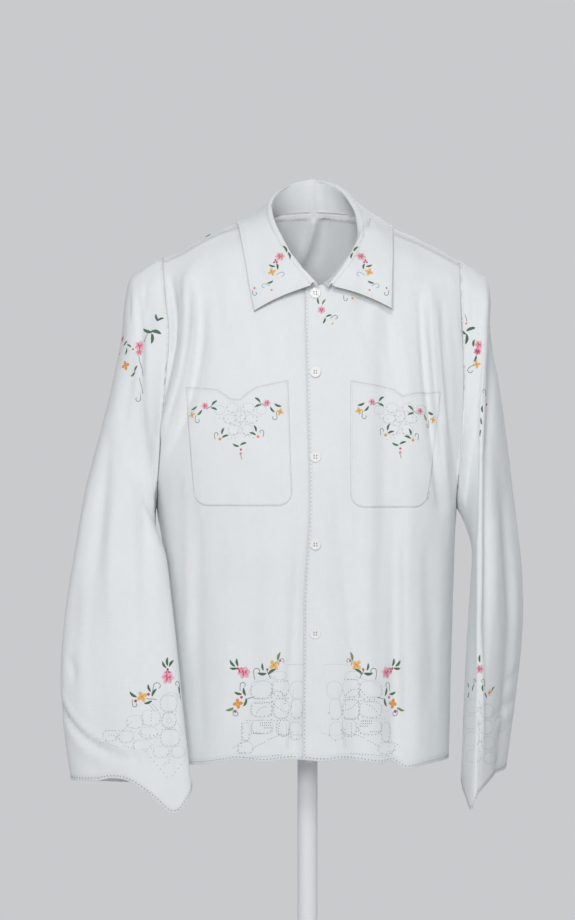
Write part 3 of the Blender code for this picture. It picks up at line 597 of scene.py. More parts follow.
def beyond_neck(point):
    across = (point[0] - CENTRE_LINE) / NECK_HALF_WIDTH
    back = (point[1] - NECK_CENTRE_Y) / NECK_HALF_DEPTH
    return across**2 + back**2 > NECK_INSIDE


def collar_grid():
    """Columns round the neck. Each runs up the stand, over the roll and down the fall to the edge."""
    columns = []
    for j in range(COLLAR_COLUMNS + 1):
        share = j / COLLAR_COLUMNS
        roll = guide_point(ROLL_LINE, share)
        edge = guide_point(OUTER_EDGE, share)
        foot = neckline_point(FOOT_START + (1 - 2 * FOOT_START) * share)
        foot[2] += FOOT_RISE
        if share < FOOT_FRONT or share > 1 - FOOT_FRONT:
            foot[1] -= FOOT_OUT
        if share < OVER_FOOT or share > 1 - FOOT_FRONT:
            foot[1] -= OVERLAP_LIFT
        out = edge - roll
        out[2] = 0
        out /= np.linalg.norm(out)
        size = ROLL_RADIUS
        centre = roll + out * size - np.array([0, 0, size])
        column = [foot + (centre - out * size - foot) * k / STAND_STEPS for k in range(STAND_STEPS)]
        for k in range(ROLL_STEPS + 1):
            turn = math.pi * k / ROLL_STEPS
            point = centre - out * size * math.cos(turn) + np.array([0, 0, size * math.sin(turn)])
            column.append(clear_of_body(point, fall_clearance(point)) if beyond_neck(point) else point)
        last = column[-1]
        for k in range(1, FALL_STEPS + 1):
            t = k / FALL_STEPS
            point = last + (edge - last) * t
            point = point + (out * 0.7 + np.array([0, 0, 0.7])) * FALL_BULGE * math.sin(math.pi * t)
            column.append(clear_of_body(point, fall_clearance(point)))
        columns.append(column)
    return np.array(columns)


def grid_at(grid, x, z):
    """The point of a panel's own facets, and its outward normal, at a given x and z."""
    rows, columns = grid.shape[:2]
    best = None
    for r in range(rows - 1):
        for c in range(columns - 1):
            corners = grid[r, c], grid[r, c + 1], grid[r + 1, c + 1], grid[r + 1, c]
            xs = [p[0] for p in corners]
            zs = [p[2] for p in corners]
            if not (min(xs) <= x <= max(xs) and min(zs) <= z <= max(zs)):
                continue
            u, v = 0.5, 0.5
            for _ in range(FIT_PASSES):
                low = corners[0] * (1 - u) + corners[1] * u
                high = corners[3] * (1 - u) + corners[2] * u
                found = low * (1 - v) + high * v
                du = (corners[1] - corners[0]) * (1 - v) + (corners[2] - corners[3]) * v
                dv = high - low
                missing = np.array([x - found[0], z - found[2]])
                step = np.linalg.solve(np.array([[du[0], dv[0]], [du[2], dv[2]]]), missing)
                u, v = u + step[0], v + step[1]
            if -0.01 <= u <= 1.01 and -0.01 <= v <= 1.01:
                normal = np.cross(du, dv)
                normal = normal / np.linalg.norm(normal)
                best = found, normal if normal[1] < 0 else -normal
    if best is None:
        raise ValueError(f"no cloth at {x:.1f}, {z:.1f}")
    return best


# How finely the shells repeat the form, how thick they are, and over how many points their relief fades
# towards a sewn edge
FINE_ROWS = 6
FINE_COLUMNS = 6
SHELL_WALL = 0.8
COLLAR_WALL = 1.0
EDGE_MASK = 5.0

# How far a seam allowance reaches under the next piece, how far it dips and how far a pocket lies off
TUCK = 3.0
TUCK_DROP = 0.9
POCKET_OFF = 1.0

# Beside the neck the allowance fades in over a width, and it never shrinks quite to nothing. Its first
# row of points lies a share of the way out
TUCK_FADE = 8
TUCK_LEAST = 0.02
TUCK_NEAR = 0.15

# How fast a pocket's rounded corners fade upwards, and where the rays that find its front start
CORNER_EASE = 6
BEFORE_SHIRT = -400.0

# The collar's foot and the tape over it lie behind this depth on these pieces: how far each reaches down
# from the foot, and how far it stays clear of the cloth
NECK_SIDE = -10.0
NECK_PIECES = ("back", "front_wearer_right", "front_wearer_left")
FOOT_HEM = 6.5
FOOT_CLEAR = 1.9
TAPE_REACH = 4.0
TAPE_CLEAR = 0.85

# Sewing: how much larger than its table size a leaf is, and half the width of the thread over a seam
LEAF_SIZE = 1.2
SEAM_COVER = 2.4

# Cutwork: a pinhole's radius, the steps of a cord and of a patch's outline with the fewest points that
# are kept of each, half their cords' widths, and the share of an outline that has pinholes
HOLE_RADIUS = 0.58
CORD_STEPS = 8
CORD_LEAST = 8
CORD_HALF = 0.24
PATCH_STEPS = 20
PATCH_LEAST = 17
PATCH_HALF = 0.26
PATCH_HOLED = 0.6

# Where the photo's camera stands, and the size of one of its pixels on the shirt's middle plane
EYE = Vector((-25.0, -4000.0, 1108.75))
SEEN_MM = 1.25
SEEN_CENTRE = (287.5, 460.0)

# Creases listed by piece and side. They run from a top to a low point seen from the
# front, bend sideways, and stand out, or in if negative
Crease = namedtuple("Crease", "x_top z_top x_low z_low bend width out")
CREASES = {
    ("front_wearer_right", FRONT): (
        (-166, 1306, -166, 1240, 0, 3.5, -2.2), (-152, 1342, -188, 1124, -16, 6.0, 6.8),
        (-170, 1338, -199, 1140, -14, 5.0, -6.4), (-136, 1330, -172, 1116, -17, 6.0, -5.0),
        (-118, 1300, -150, 1130, -12, 7.0, 1.6), (-112, 1345, -100, 1240, 5, 8.0, -1.6),
        (-88, 1310, -70, 1215, -4, 9.0, 1.2), (-30, 1290, -22, 1180, 3, 6.0, -1.2),
        (-12, 1020, -28, 800, -5, 6.0, -2.4), (-24, 1000, -46, 760, -6, 8.0, 1.8),
        (-58, 1040, -62, 790, 7, 10.0, -1.8), (-96, 1030, -104, 770, -5, 12.0, 1.8),
        (-132, 1040, -128, 760, 6, 8.0, -2.2), (-152, 1100, -150, 860, -4, 7.0, 2.0),
        (-13, 800, -18, 745, 0, 7.0, -3.2),
    ),
    ("front_wearer_left", FRONT): (
        (150, 1322, 177, 1036, 4, 5.0, 5.4), (139, 1318, 165, 1040, 4, 5.0, -4.8),
        (166, 1310, 186, 1080, 4, 5.0, -3.6), (98, 1300, 112, 1190, 3, 7.0, -2.2),
        (104, 1060, 108, 760, -3, 8.0, -3.0), (121, 1050, 122, 800, 3, 9.0, 2.2),
        (146, 1000, 150, 800, -3, 8.0, -2.4), (62, 1330, 78, 1235, 4, 8.0, -1.4),
        (44, 1010, 62, 850, 4, 7.0, -2.2), (58, 960, 72, 800, 4, 8.0, 1.8),
        (66, 850, 68, 745, -3, 8.0, -2.6), (24, 1180, 34, 1050, -3, 7.0, -0.9),
        (8, 980, 4, 780, 2, 6.0, 0.8),
    ),
    ("sleeve_wearer_right", FRONT): (
        (-212, 1322, -206, 1190, -3, 4.0, -2.6), (-222, 1318, -221, 1278, 0, 2.4, -1.4),
        (-200, 1330, -204, 1290, 0, 3.0, -1.2), (-196, 1270, -190, 1110, 4, 6.0, 2.0),
        (-250, 1150, -262, 960, -5, 8.0, -2.4), (-236, 1120, -240, 900, 5, 9.0, 2.2),
        (-206, 1080, -204, 800, -5, 9.0, -2.4), (-190, 1060, -176, 860, 4, 8.0, 2.0),
        (-268, 980, -276, 790, 4, 9.0, 1.8), (-296, 868, -286, 836, -3, 5.0, -2.6),
        (-308, 816, -186, 748, 24, 2.2, -5.0), (-304, 824, -188, 754, 24, 3.0, 3.6),
        (-298, 792, -236, 740, 12, 6.0, 2.4), (-178, 870, -162, 730, -4, 6.0, -1.8),
    ),
    ("sleeve_wearer_right", BACK): (
        (-240, 1290, -236, 1080, 5, 9.0, -2.6), (-216, 1180, -214, 930, -6, 10.0, 2.4),
        (-262, 1040, -268, 820, 5, 9.0, -2.6), (-226, 940, -222, 740, 4, 10.0, 2.2),
    ),
    ("sleeve_wearer_left", FRONT): (
        (223, 1328, 214, 1110, 0, 3.2, 3.6), (214, 1130, 210, 880, 0, 3.2, 3.4),
        (232, 1300, 223, 1110, 0, 5.0, -4.5), (222, 1130, 219, 860, 0, 5.0, -4.0),
        (212, 900, 214, 740, 0, 3.2, 3.0), (204, 1320, 206, 1240, 0, 3.0, -1.4),
        (214, 1310, 217, 1215, 2, 4.0, -1.8), (207, 1190, 209, 1010, -2, 3.0, -1.4),
        (206, 960, 203, 820, 2, 3.0, -1.4), (246, 1080, 252, 900, 3, 6.0, -2.2),
        (258, 1000, 256, 830, -3, 6.0, 1.8), (232, 1040, 236, 860, 3, 6.0, 1.8),
        (264, 846, 240, 824, 0, 4.0, -2.2), (262, 812, 230, 792, 0, 4.0, -2.4),
        (258, 796, 226, 770, 3, 5.0, 1.8),
    ),
    ("sleeve_wearer_left", BACK): (
        (232, 1250, 240, 1020, 4, 8.0, -2.6), (214, 1120, 222, 860, -5, 8.0, 2.4),
        (250, 1000, 246, 800, 4, 8.0, -2.4),
    ),
    ("back", BACK): (
        (-150, 1250, -168, 1120, -3, 7.0, 2.8), (-134, 1240, -150, 1090, -3, 7.0, -2.6),
        (-96, 1300, -70, 1100, 8, 11.0, -2.4), (-60, 1180, -64, 900, -7, 12.0, 2.2),
        (-26, 1060, -34, 780, 6, 9.0, -2.2), (24, 1240, 12, 960, -7, 12.0, -1.8),
        (40, 1020, 52, 760, 6, 10.0, 2.2), (92, 1290, 104, 1060, 6, 10.0, -2.4),
        (134, 1240, 152, 1090, 3, 7.0, 2.8), (150, 1040, 140, 790, 5, 9.0, -2.4),
        (-140, 1000, -132, 770, 5, 9.0, -2.4), (12, 1440, -13, 1350, -5, 5.0, -7.0),
        (24, 1436, 4, 1346, -5, 7.0, 4.0),
    ),
    ("collar", FRONT): (
        (6, 1470, 11, 1400, 2, 4.5, 3.0), (18, 1470, 22, 1400, 2, 6.0, -2.0),
        (-62, 1352, -40, 1318, 3, 6.0, -1.0), (78, 1350, 60, 1316, -3, 6.0, -1.0),
    ),
}

# Uneven drape all over: how wide, how long and how deep its waves are
Drape = namedtuple("Drape", "across down out seed")
DRAPES = listed(
    Drape,
    (34.0, 150.0, 1.5, 3.0), (15.0, 60.0, 0.5, 11.0), (8.0, 14.0, 0.16, 23.0),
)

# The flat cut of each cloth piece in metres, its area, how it is held and on what
Cut = namedtuple("Cut", "width length area held on")

# Thread colours, linear
THREADS = {
    "white": (0.86, 0.87, 0.88),
    "rose_pale": (0.98, 0.58, 0.66),
    "rose_light": (0.96, 0.30, 0.42),
    "rose_dark": (0.72, 0.05, 0.16),
    "orange": (0.95, 0.36, 0.06),
    "yellow": (0.98, 0.62, 0.20),
    "leaf_light": (0.20, 0.34, 0.15),
    "leaf_dark": (0.07, 0.165, 0.085),
    "grey_green": (0.20, 0.27, 0.20),
    "blue_grey": (0.38, 0.48, 0.58),
    "purple": (0.48, 0.04, 0.22),
    # Painted shade in holes and openwork: the hem's pinholes, its dashes of pulled threads and the buttons'
    # holes
    "shadow": (0.20, 0.22, 0.24),
    "olive": (0.22, 0.22, 0.14),
    # Grey of the white cutwork cords: painted shade along them
    "faint": (0.66, 0.68, 0.70),
    # Paler painted shade of the pinholes on cuffs and pockets
    "grey_hole": (0.42, 0.44, 0.46),
}


def stitcher(kind, usual):
    """A short way to write one kind of stitch, in its usual thread unless another is named."""
    return lambda across, down, size, turn=0, thread=usual: Stitch(kind, across, down, size, turn, thread)


# Embroidery. Places are pixels across from a mirror line and down the photo, sizes are millimetres,
# and a turn is in degrees from the right
Stitch = namedtuple("Stitch", "kind across down size turn thread")
leaf = stitcher("leaf", "leaf_dark")
rose = stitcher("rose", "rose_light")
bud = stitcher("bud", "rose_dark")
flower = stitcher("flower", "yellow")
scroll = stitcher("scroll", "grey_green")
stem = stitcher("stem", "leaf_dark")
dot = stitcher("dot", "rose_dark")
COLLAR_SPRAY = (
    leaf(-35.5, 249, 9, 300), leaf(-31.5, 255.5, 8, 285), rose(-40.5, 256.5, 5.2),
    bud(-45.0, 261.5, 3.4, 210), leaf(-48.5, 265.5, 7, 160), leaf(-43.5, 266.5, 7, 280),
    flower(-48.5, 272, 4.6, 20), scroll(-38.5, 274.5, 3.4, 300, "blue_grey"), leaf(-50.5, 282, 7, 200),
    scroll(-56.5, 286, -3.2, 60, "blue_grey"), dot(-49.0, 290, 1.7, 0, "orange"),
    scroll(-65.5, 293.5, -2.8, 190), dot(-66.0, 288, 1.4, 0, "purple"),
)
PLACKET_SPRAY = (
    leaf(318.5, 301, 6.5, 100), leaf(324, 302, 6.5, 60, "leaf_light"), rose(321.5, 310, 4.2, 30),
    leaf(329, 316, 6.5, 20), leaf(324, 320.6, 6.5, 250), scroll(335.5, 317.5, 3.0, 310),
    dot(332.4, 323.6, 1.8, 0, "yellow"), scroll(346, 299, -2.6, 180), dot(352.4, 298.5, 1.8, 0, "orange"),
)
SHOULDER_MARKS = (
    leaf(189, 243, 6, 200), leaf(208, 235.5, 6, 200),
)
POCKET_UPPER = (
    leaf(9.5, -3, 7.5, 40), leaf(9, 3, 7, -20), rose(0, 0, 3.8), leaf(-11, 2, 7.5, 200),
    leaf(-5.5, 6.5, 7, 230), flower(-13, 8.8, 3.9, 15), scroll(-7.5, 14.5, -3.2, 170),
    stem(4, 1.5, 9, 10),
)
POCKET_LOWER = (
    leaf(3, -8, 7, 70), leaf(5.4, -2.6, 7, 20), scroll(-3.5, -4.5, 2.8, 10), dot(0, 0, 2.2, 0, "orange"),
)
POCKET_FOOT = (
    leaf(-4.5, 0, 7, 160), leaf(3.0, -1, 7, 20), dot(0.3, 4.5, 1.7), dot(0.2, 8.4, 1.9, 0, "rose_light"),
    stem(0.3, 11, 8, 270, "grey_green"),
)
HEM_SPRAY = (
    leaf(-83, 663.2, 8.5, 130), leaf(-78, 662.2, 8, 100), leaf(-82, 668, 8, 180),
    rose(-71.5, 672.5, 6.6, 10), bud(-76, 669.5, 4.0, 150), scroll(-58.3, 671.5, 4.8, 10),
    leaf(-52.5, 666.8, 7.5, 100), leaf(-53.5, 673.2, 9.5, 180), leaf(-43.5, 671.8, 9.5, 35),
    dot(-48.2, 669.4, 1.9), stem(-47, 674, 12, 280), flower(-41.5, 665, 5.8, 40),
    leaf(-36.3, 656.5, 9, 75, "leaf_light"), scroll(-33.5, 661, 3.2, 350), dot(-35, 660.8, 1.5),
    scroll(-72.3, 685, 3.7), leaf(-77.3, 693, 8, 165), leaf(-70.8, 691.6, 8.5, 105),
    leaf(-70.6, 702.4, 8.5, 250), dot(-74.0, 697.2, 2.1), stem(-66, 698.2, 11),
    flower(-77.6, 703.6, 5.4, 10, "orange"), leaf(-86, 709, 8.5, 200, "leaf_light"),
    dot(-80.2, 711.3, 2.2, 0, "purple"), scroll(-79.5, 713.5, -3.5, 180),
)
LEFT_CUFF_SPRAY = (
    leaf(164.3, 664.6, 8, 120), leaf(167.7, 661.5, 8.5, 90), leaf(171.6, 663.4, 8.5, 55),
    rose(167.6, 677.5, 7.0), bud(167.6, 671.4, 4.2, 90), scroll(157.5, 686.2, 5.0, 355),
    scroll(177.3, 684, -3.7, 5), leaf(178.8, 690, 7.5, 280), stem(180.2, 695.5, 10, 270, "grey_green"),
    leaf(149.4, 688, 8, 110), leaf(154.3, 692.6, 9, 60), leaf(148, 702, 8.5, 200),
    stem(151.5, 699, 12, 160), flower(142, 696.8, 6.0, 30), dot(148.5, 694.2, 2.2, 0, "purple"),
    leaf(133.2, 694.4, 9, 145), dot(135.6, 701, 2.2, 0, "purple"), scroll(135, 704.6, -3.2, 180),
)
RIGHT_CUFF_SPRAY = (
    rose(479.6, 669, 5.0), leaf(480, 658.5, 7.5, 90), scroll(475, 681, 3.2), scroll(483.2, 681.5, -3.2),
    leaf(468.5, 685, 6.5, 120), leaf(473, 688, 6.5, 60), leaf(468.5, 695, 6.5, 230),
    leaf(483, 688, 7, 90), leaf(485.5, 695.5, 7, 310), leaf(493, 689, 6.5, 40), flower(489.5, 692.4, 3.6),
)
LEFT_SLEEVE_SPRAY = (
    leaf(157, 317.5, 8.5, 110), leaf(160.5, 319.5, 8, 20), leaf(147.5, 330.5, 12, 150),
    leaf(156, 332.5, 12, 340), leaf(151.5, 338.5, 11, 270), stem(145.5, 338, 12, 215),
    rose(140, 346, 5.6, 20), rose(122.8, 339, 3.8), leaf(125.5, 343.5, 7, 30), leaf(129, 346, 6.5, 330),
    leaf(126, 351.5, 7, 250), dot(133, 349.3, 1.9, 0, "orange"), dot(119.8, 354, 1.8, 0, "orange"),
    flower(125.5, 365.5, 5.2, 15, "orange"), leaf(136, 368.5, 7, 60), leaf(133, 374, 7, 220),
    scroll(137.8, 399, 3.6, 180), stem(141.2, 366, 26, 90), stem(141.4, 386, 20, 90, "grey_green"),
    rose(139.5, 352, 4.2, 60),
)
RIGHT_SLEEVE_SPRAY = (
    leaf(461.5, 318, 6, 160), dot(466.2, 323.5, 1.8, 0, "rose_light"), stem(466, 318, 9, 90),
    leaf(471, 329.5, 10.5, 20), leaf(463.2, 331, 9.5, 130), leaf(466, 339, 10.5, 265),
    leaf(474, 343, 7.5, 80), rose(478.6, 344.8, 4.8), rose(477.4, 351.5, 3.8, 20, "rose_dark"),
    leaf(475, 358.6, 7, 250), flower(476.6, 364.3, 4.4, 10), scroll(470.5, 370.5, -3.8, 120),
    scroll(484, 391.5, -3.0), dot(486.5, 404.5, 1.9), leaf(482.5, 409, 7, 90), leaf(481.5, 421, 7, 100),
    leaf(480.5, 433, 7, 80),
)

# The sprays of each piece of embroidery and the cloth under it: table, mirror line or place, and whether
# it is turned over left to right
Spray = namedtuple("Spray", "table across down mirrored")
SPRAYS = {
    ("collar_embroidery", "collar"): (
        Spray(COLLAR_SPRAY, 320.5, 0, False), Spray(COLLAR_SPRAY, 320.5, 0, True),
    ),
    ("placket_embroidery", "front_wearer_left"): (
        Spray(PLACKET_SPRAY, 0, 0, False),
    ),
    ("shoulder_embroidery", "back"): (
        Spray(SHOULDER_MARKS, 0, 0, False),
    ),
    ("right_pocket_embroidery", "pocket_wearer_right"): (
        Spray(POCKET_UPPER, 205, 406, False), Spray(POCKET_UPPER, 267, 403, True),
        Spray(POCKET_LOWER, 220, 439, False), Spray(POCKET_LOWER, 258, 436.5, True),
        Spray(POCKET_FOOT, 240.5, 445, False),
    ),
    ("left_pocket_embroidery", "pocket_wearer_left"): (
        Spray(POCKET_UPPER, 372, 402, False), Spray(POCKET_UPPER, 420, 411, True),
        Spray(POCKET_LOWER, 385.6, 435, False), Spray(POCKET_LOWER, 413, 440, True),
        Spray(POCKET_FOOT, 400, 444, False),
    ),
    ("right_hem_embroidery", "front_wearer_right"): (
        Spray(HEM_SPRAY, 315.5, 0, False),
    ),
    ("left_hem_embroidery", "front_wearer_left"): (
        Spray(HEM_SPRAY, 315.0, 0, True),
    ),
    ("right_cuff_embroidery", "sleeve_wearer_right"): (
        Spray(LEFT_CUFF_SPRAY, 0, 0, False), Spray(LEFT_SLEEVE_SPRAY, 0, 0, False),
    ),
    ("left_cuff_embroidery", "sleeve_wearer_left"): (
        Spray(RIGHT_CUFF_SPRAY, 0, 0, False), Spray(RIGHT_SLEEVE_SPRAY, 0, 0, False),
    ),
}

# White cutwork: corded lines, the white cord drawn grey as painted shade, with pinholes beside them. A line
# runs from a point by a length (pixels) at a turn, and an arc bends it by its sweep (degrees)
Cord = namedtuple("Cord", "across down length turn sweep holes")
HEM_CUTWORK = listed(
    Cord,
    (-58, 681.5, 20, 8, 20, 0), (-40, 680.5, 14, 2, 0, 4), (-43, 682, 40, 270, 0, 9),
    (-62, 698, 12, 0, 0, 5), (-48, 696, 20, 60, -120, 7), (-26, 699, 14, 180, 0, 5),
    (-61, 702.5, 18, 0, 10, 8), (-57, 683, 16, 200, 70, 0), (-36, 690, 18, 330, -90, 6),
    (-60, 713, 14, 60, -60, 5), (-43, 700, 22, 300, 60, 8), (-70, 719.5, 18, 0, 0, 6),
    (-43, 719.5, 16, 0, 0, 5), (-56, 722, 12, 0, 0, 6), (-56, 724.5, 12, 0, 0, 6), (-52, 727, 9, 0, 0, 5),
    (-73, 722, 26, 270, 0, 8), (-65, 732.5, 12, 0, 0, 6), (-64, 748.5, 16, 34, -12, 6),
    (-48, 739, 16, 20, 10, 6), (-35, 722, 14, 260, 20, 5), (-34, 736, 12, 10, 40, 6),
    (-84, 748, 12, 40, -20, 4), (-73, 757, 40, 4, 0, 14), (-30, 722, 26, 280, -20, 0),
    (-31, 665, 24, 4, -8, 0), (-30, 734, 26, 350, 30, 0), (-78, 750, 9, 300, 120, 4),
    (-22, 690, 60, 262, 6, 0),
)
LEFT_CUFF_CUTWORK = listed(
    Cord,
    (160.5, 701, 28, 70, -150, 0), (176, 693, 6, 300, 0, 3), (162, 695.5, 12, 5, -10, 4),
    (161.5, 720, 24, 90, -170, 6), (176.5, 720, 24, 270, -170, 6), (150, 704, 9, 310, 0, 4),
    (153, 703, 9, 310, 0, 4), (158, 712.5, 20, 355, 30, 5), (161, 728.5, 16, 0, 0, 6),
    (130, 729, 26, 335, 30, 7), (144, 738, 16, 20, 0, 4), (150, 750, 20, 70, -30, 5),
    (122, 731, 14, 55, -20, 5), (106, 738, 14, 60, -130, 5), (104, 729.5, 20, 0, 0, 6),
    (108, 742, 12, 330, 20, 5), (122, 744.5, 26, 345, 0, 9), (150, 755, 30, 309, 0, 6),
    (170, 777, 24, 50, 0, 5), (170, 750, 14, 270, 0, 5), (163, 766, 10, 90, -160, 3),
    (97, 742.5, 10, 5, 0, 4), (150, 722, 12, 80, 20, 4), (182, 736, 14, 100, 30, 4),
)
RIGHT_CUFF_CUTWORK = listed(
    Cord,
    (466, 705, 20, 340, 40, 6), (468, 722, 18, 10, -40, 6), (484, 712, 18, 330, 20, 6),
    (470, 740, 20, 350, 20, 6), (466, 757, 14, 300, 0, 4), (478, 776, 16, 50, 0, 4),
    (486, 736, 14, 30, -80, 4), (492, 752, 12, 340, 0, 4),
)
POCKET_CUTWORK = listed(
    Cord,
    (-9, -36, 12, 300, 60, 3), (9, -36, 12, 240, -60, 3), (-12, -24, 14, 330, 40, 3),
    (12, -24, 14, 210, -40, 3), (-9, -12, 18, 20, -50, 5), (0, -40, 24, 270, 0, 0),
    (-22, -30, 12, 330, 50, 3), (22, -30, 12, 210, -50, 3), (-14, -6, 12, 50, -90, 3),
    (14, -6, 12, 130, 90, 3),
)

# Rounded patches outlined by a fine cord, drawn grey as painted shade, with pinholes along part of the
# outline
Patch = namedtuple("Patch", "across down wide high square holes")
HEM_PATCHES = listed(
    Patch,
    (-54, 690, 22, 18, 3.2, 9), (-35, 688, 17, 17, 3.0, 7), (-36.5, 675.5, 16, 8, 2.6, 0),
    (-54, 709.5, 22, 15, 3.4, 10), (-34.5, 709, 16, 20, 3.0, 12), (-53.5, 727, 22, 14, 3.6, 12),
    (-32.5, 727.5, 14, 17, 3.0, 9), (-69.5, 732, 8, 19, 3.4, 8), (-19, 709, 12, 20, 2.6, 5),
    (-18, 690, 15, 18, 2.4, 0), (-70, 748, 16, 12, 2.4, 6), (-20, 731, 14, 18, 2.4, 4),
)
LEFT_CUFF_PATCHES = listed(
    Patch,
    (168.5, 703.5, 17, 17, 2.8, 8), (169, 720.5, 15, 16, 2.0, 9), (169, 720.5, 5, 5, 2.0, 0),
    (151, 718, 19, 16, 2.8, 6), (135, 722, 17, 13, 2.6, 5), (149, 733, 18, 12, 2.6, 7),
    (170, 738, 20, 17, 2.6, 9), (142, 745, 18, 10, 2.6, 6), (110, 736, 15, 11, 2.4, 8),
    (126, 737, 15, 12, 2.6, 6), (185, 728, 10, 18, 2.4, 3), (161, 752, 16, 12, 2.4, 4),
    (178, 752, 14, 12, 2.4, 4),
)
RIGHT_CUFF_PATCHES = listed(
    Patch,
    (473, 706, 14, 14, 2.8, 7), (487, 711, 13, 14, 2.6, 6), (471, 722, 15, 14, 2.6, 7),
    (486, 727, 14, 14, 2.8, 6), (472, 739, 15, 14, 2.8, 7), (488, 743, 14, 13, 2.4, 5),
    (500, 724, 10, 16, 2.4, 3), (474, 756, 15, 13, 2.6, 5), (490, 758, 13, 12, 2.4, 3),
)
POCKET_PATCHES = listed(
    Patch,
    (0, -47, 9, 13, 2.2, 0), (-8, -38, 12, 10, 2.2, 4), (8, -38, 12, 10, 2.2, 4),
    (-11, -27, 13, 9, 2.2, 4), (11, -27, 13, 9, 2.2, 4), (0, -29, 10, 12, 2.0, 5),
    (-7, -16, 11, 11, 2.2, 4), (7, -16, 11, 11, 2.2, 4), (-21, -36, 10, 9, 2.2, 0),
    (21, -36, 10, 9, 2.2, 0),
)

# Each piece of cutwork: its cloth, tables, mirror line or place, and the painted shade of its pinholes
Lace = namedtuple("Lace", "name on table patches across down mirrored hole")
LACES = (
    Lace(
        "right_hem_cutwork", "front_wearer_right", HEM_CUTWORK, HEM_PATCHES,
        315.5, 0, False, "shadow",
    ),
    Lace(
        "left_hem_cutwork", "front_wearer_left", HEM_CUTWORK, HEM_PATCHES,
        316.5, 0, True, "shadow",
    ),
    Lace(
        "right_cuff_cutwork", "sleeve_wearer_right", LEFT_CUFF_CUTWORK, LEFT_CUFF_PATCHES,
        0, 0, False, "grey_hole",
    ),
    Lace(
        "left_cuff_cutwork", "sleeve_wearer_left", RIGHT_CUFF_CUTWORK, RIGHT_CUFF_PATCHES,
        0, 0, False, "grey_hole",
    ),
    Lace(
        "right_pocket_cutwork", "pocket_wearer_right", POCKET_CUTWORK, POCKET_PATCHES,
        240.5, 446, False, "grey_hole",
    ),
    Lace(
        "left_pocket_cutwork", "pocket_wearer_left", POCKET_CUTWORK, POCKET_PATCHES,
        400.0, 446, False, "grey_hole",
    ),
)

Shell = namedtuple("Shell", "grid tree")
shells = {}


def finer(points, steps, closed=False):
    """More rows of points on a smooth curve through the given rows."""
    count = len(points)
    spans = count if closed else count - 1
    place = np.arange(spans * steps + (0 if closed else 1)) / steps
    i = np.minimum(place.astype(int), spans - 1)
    f = (place - i)[:, None, None]
    if closed:
        wide = np.concatenate([points[-1:], points, points[:2]])
    else:
        before = 2 * points[:1] - points[1:2]
        after = 2 * points[-1:] - points[-2:-1]
        wide = np.concatenate([before, points, after])
    a, b, c, d = wide[i], wide[i + 1], wide[i + 2], wide[i + 3]
    curve = 2 * b + (c - a) * f + (2 * a - 5 * b + 4 * c - d) * f**2 + (3 * b - a - 3 * c + d) * f**3
    return curve / 2


def outward(grid, closed, flip):
    """Unit normals of a grid, pointing out of the cloth."""
    if closed:
        right = np.roll(grid, -1, axis=1) - np.roll(grid, 1, axis=1)
    else:
        right = np.gradient(grid, axis=1)
    normal = np.cross(right, np.gradient(grid, axis=0))
    normal /= np.maximum(np.linalg.norm(normal, axis=-1, keepdims=True), 1e-9)
    return -normal if flip else normal


def crease_relief(name, grid, normals):
    """How far the creases of one piece lift each of its points."""
    x, z = grid[..., 0], grid[..., 2]
    total = np.zeros(x.shape)
    rows = [(side, row) for (on, side), found in CREASES.items() if on == name for row in found]
    for side, row in rows:
        crease = Crease(*row)
        run = np.array([crease.x_low - crease.x_top, crease.z_low - crease.z_top], float)
        length = np.linalg.norm(run)
        run = run / length
        share = ((x - crease.x_top) * run[0] + (z - crease.z_top) * run[1]) / length
        inside = np.clip(4 * share * (1 - share), 0, 1)
        aside = (x - crease.x_top) * run[1] - (z - crease.z_top) * run[0] - crease.bend * inside
        facing = smooth_step(side * normals[..., 1] * 3 + 0.5)
        taper = np.sqrt(inside) * facing
        total += crease.out * taper * np.exp(-((aside / crease.width) ** 2))
    return total


def drape_relief(grid):
    flat = grid.reshape(-1, 3)
    total = np.zeros(len(flat))
    for drape in DRAPES:
        scaled = flat / np.array([drape.across, drape.across, drape.down]) + drape.seed
        total += drape.out * np.array([noise.noise(Vector(point)) for point in scaled])
    return total.reshape(grid.shape[:2])


def sewn_edges(grid, first_row, last_row, first_column, last_column):
    """Fades the relief to nothing along the edges that are sewn to another piece."""
    rows, columns = grid.shape[:2]
    r = np.arange(rows)[:, None]
    c = np.arange(columns)[None, :]
    mask = np.ones((rows, columns))
    if first_row:
        mask = mask * smooth_step(r / EDGE_MASK)
    if last_row:
        mask = mask * smooth_step((rows - 1 - r) / EDGE_MASK)
    if first_column:
        mask = mask * smooth_step(c / EDGE_MASK)
    if last_column:
        mask = mask * smooth_step((columns - 1 - c) / EDGE_MASK)
    return mask


def grid_faces(rows, columns, closed, flip):
    faces = []
    for r in range(rows - 1):
        for c in range(columns if closed else columns - 1):
            d = (c + 1) % columns
            quad = (r * columns + c, r * columns + d, (r + 1) * columns + d, (r + 1) * columns + c)
            faces.append(quad[::-1] if flip else quad)
    return faces


def cloth_uv(mesh, grid, closed, flip):
    """Lays the piece's UV map out in metres, so that its weave keeps one size."""
    rows, columns = grid.shape[:2]
    across = np.linalg.norm(np.diff(grid, axis=1), axis=-1).mean() * MM
    down = np.linalg.norm(np.diff(grid, axis=0), axis=-1).mean() * MM
    layer = mesh.uv_layers.new(name="weave")
    values = []
    for r in range(rows - 1):
        for c in range(columns if closed else columns - 1):
            corners = ((c, r), (c + 1, r), (c + 1, r + 1), (c, r + 1))
            for u, v in corners[::-1] if flip else corners:
                values.extend((u * across, v * down))
    layer.data.foreach_set("uv", values)


def creased(name, grid, sewn, closed, flip):
    """A piece's grid made finer, with its creases and drape laid on it."""
    smooth = finer(grid, FINE_ROWS)
    smooth = finer(smooth.transpose(1, 0, 2), FINE_COLUMNS, closed).transpose(1, 0, 2)
    normals = outward(smooth, closed, flip)
    ends = ("first_row", "last_row", "first_column", "last_column")
    mask = sewn_edges(smooth, *(end in sewn for end in ends))
    relief = (crease_relief(name, smooth, normals) + drape_relief(smooth)) * mask
    return smooth + normals * relief[..., None]


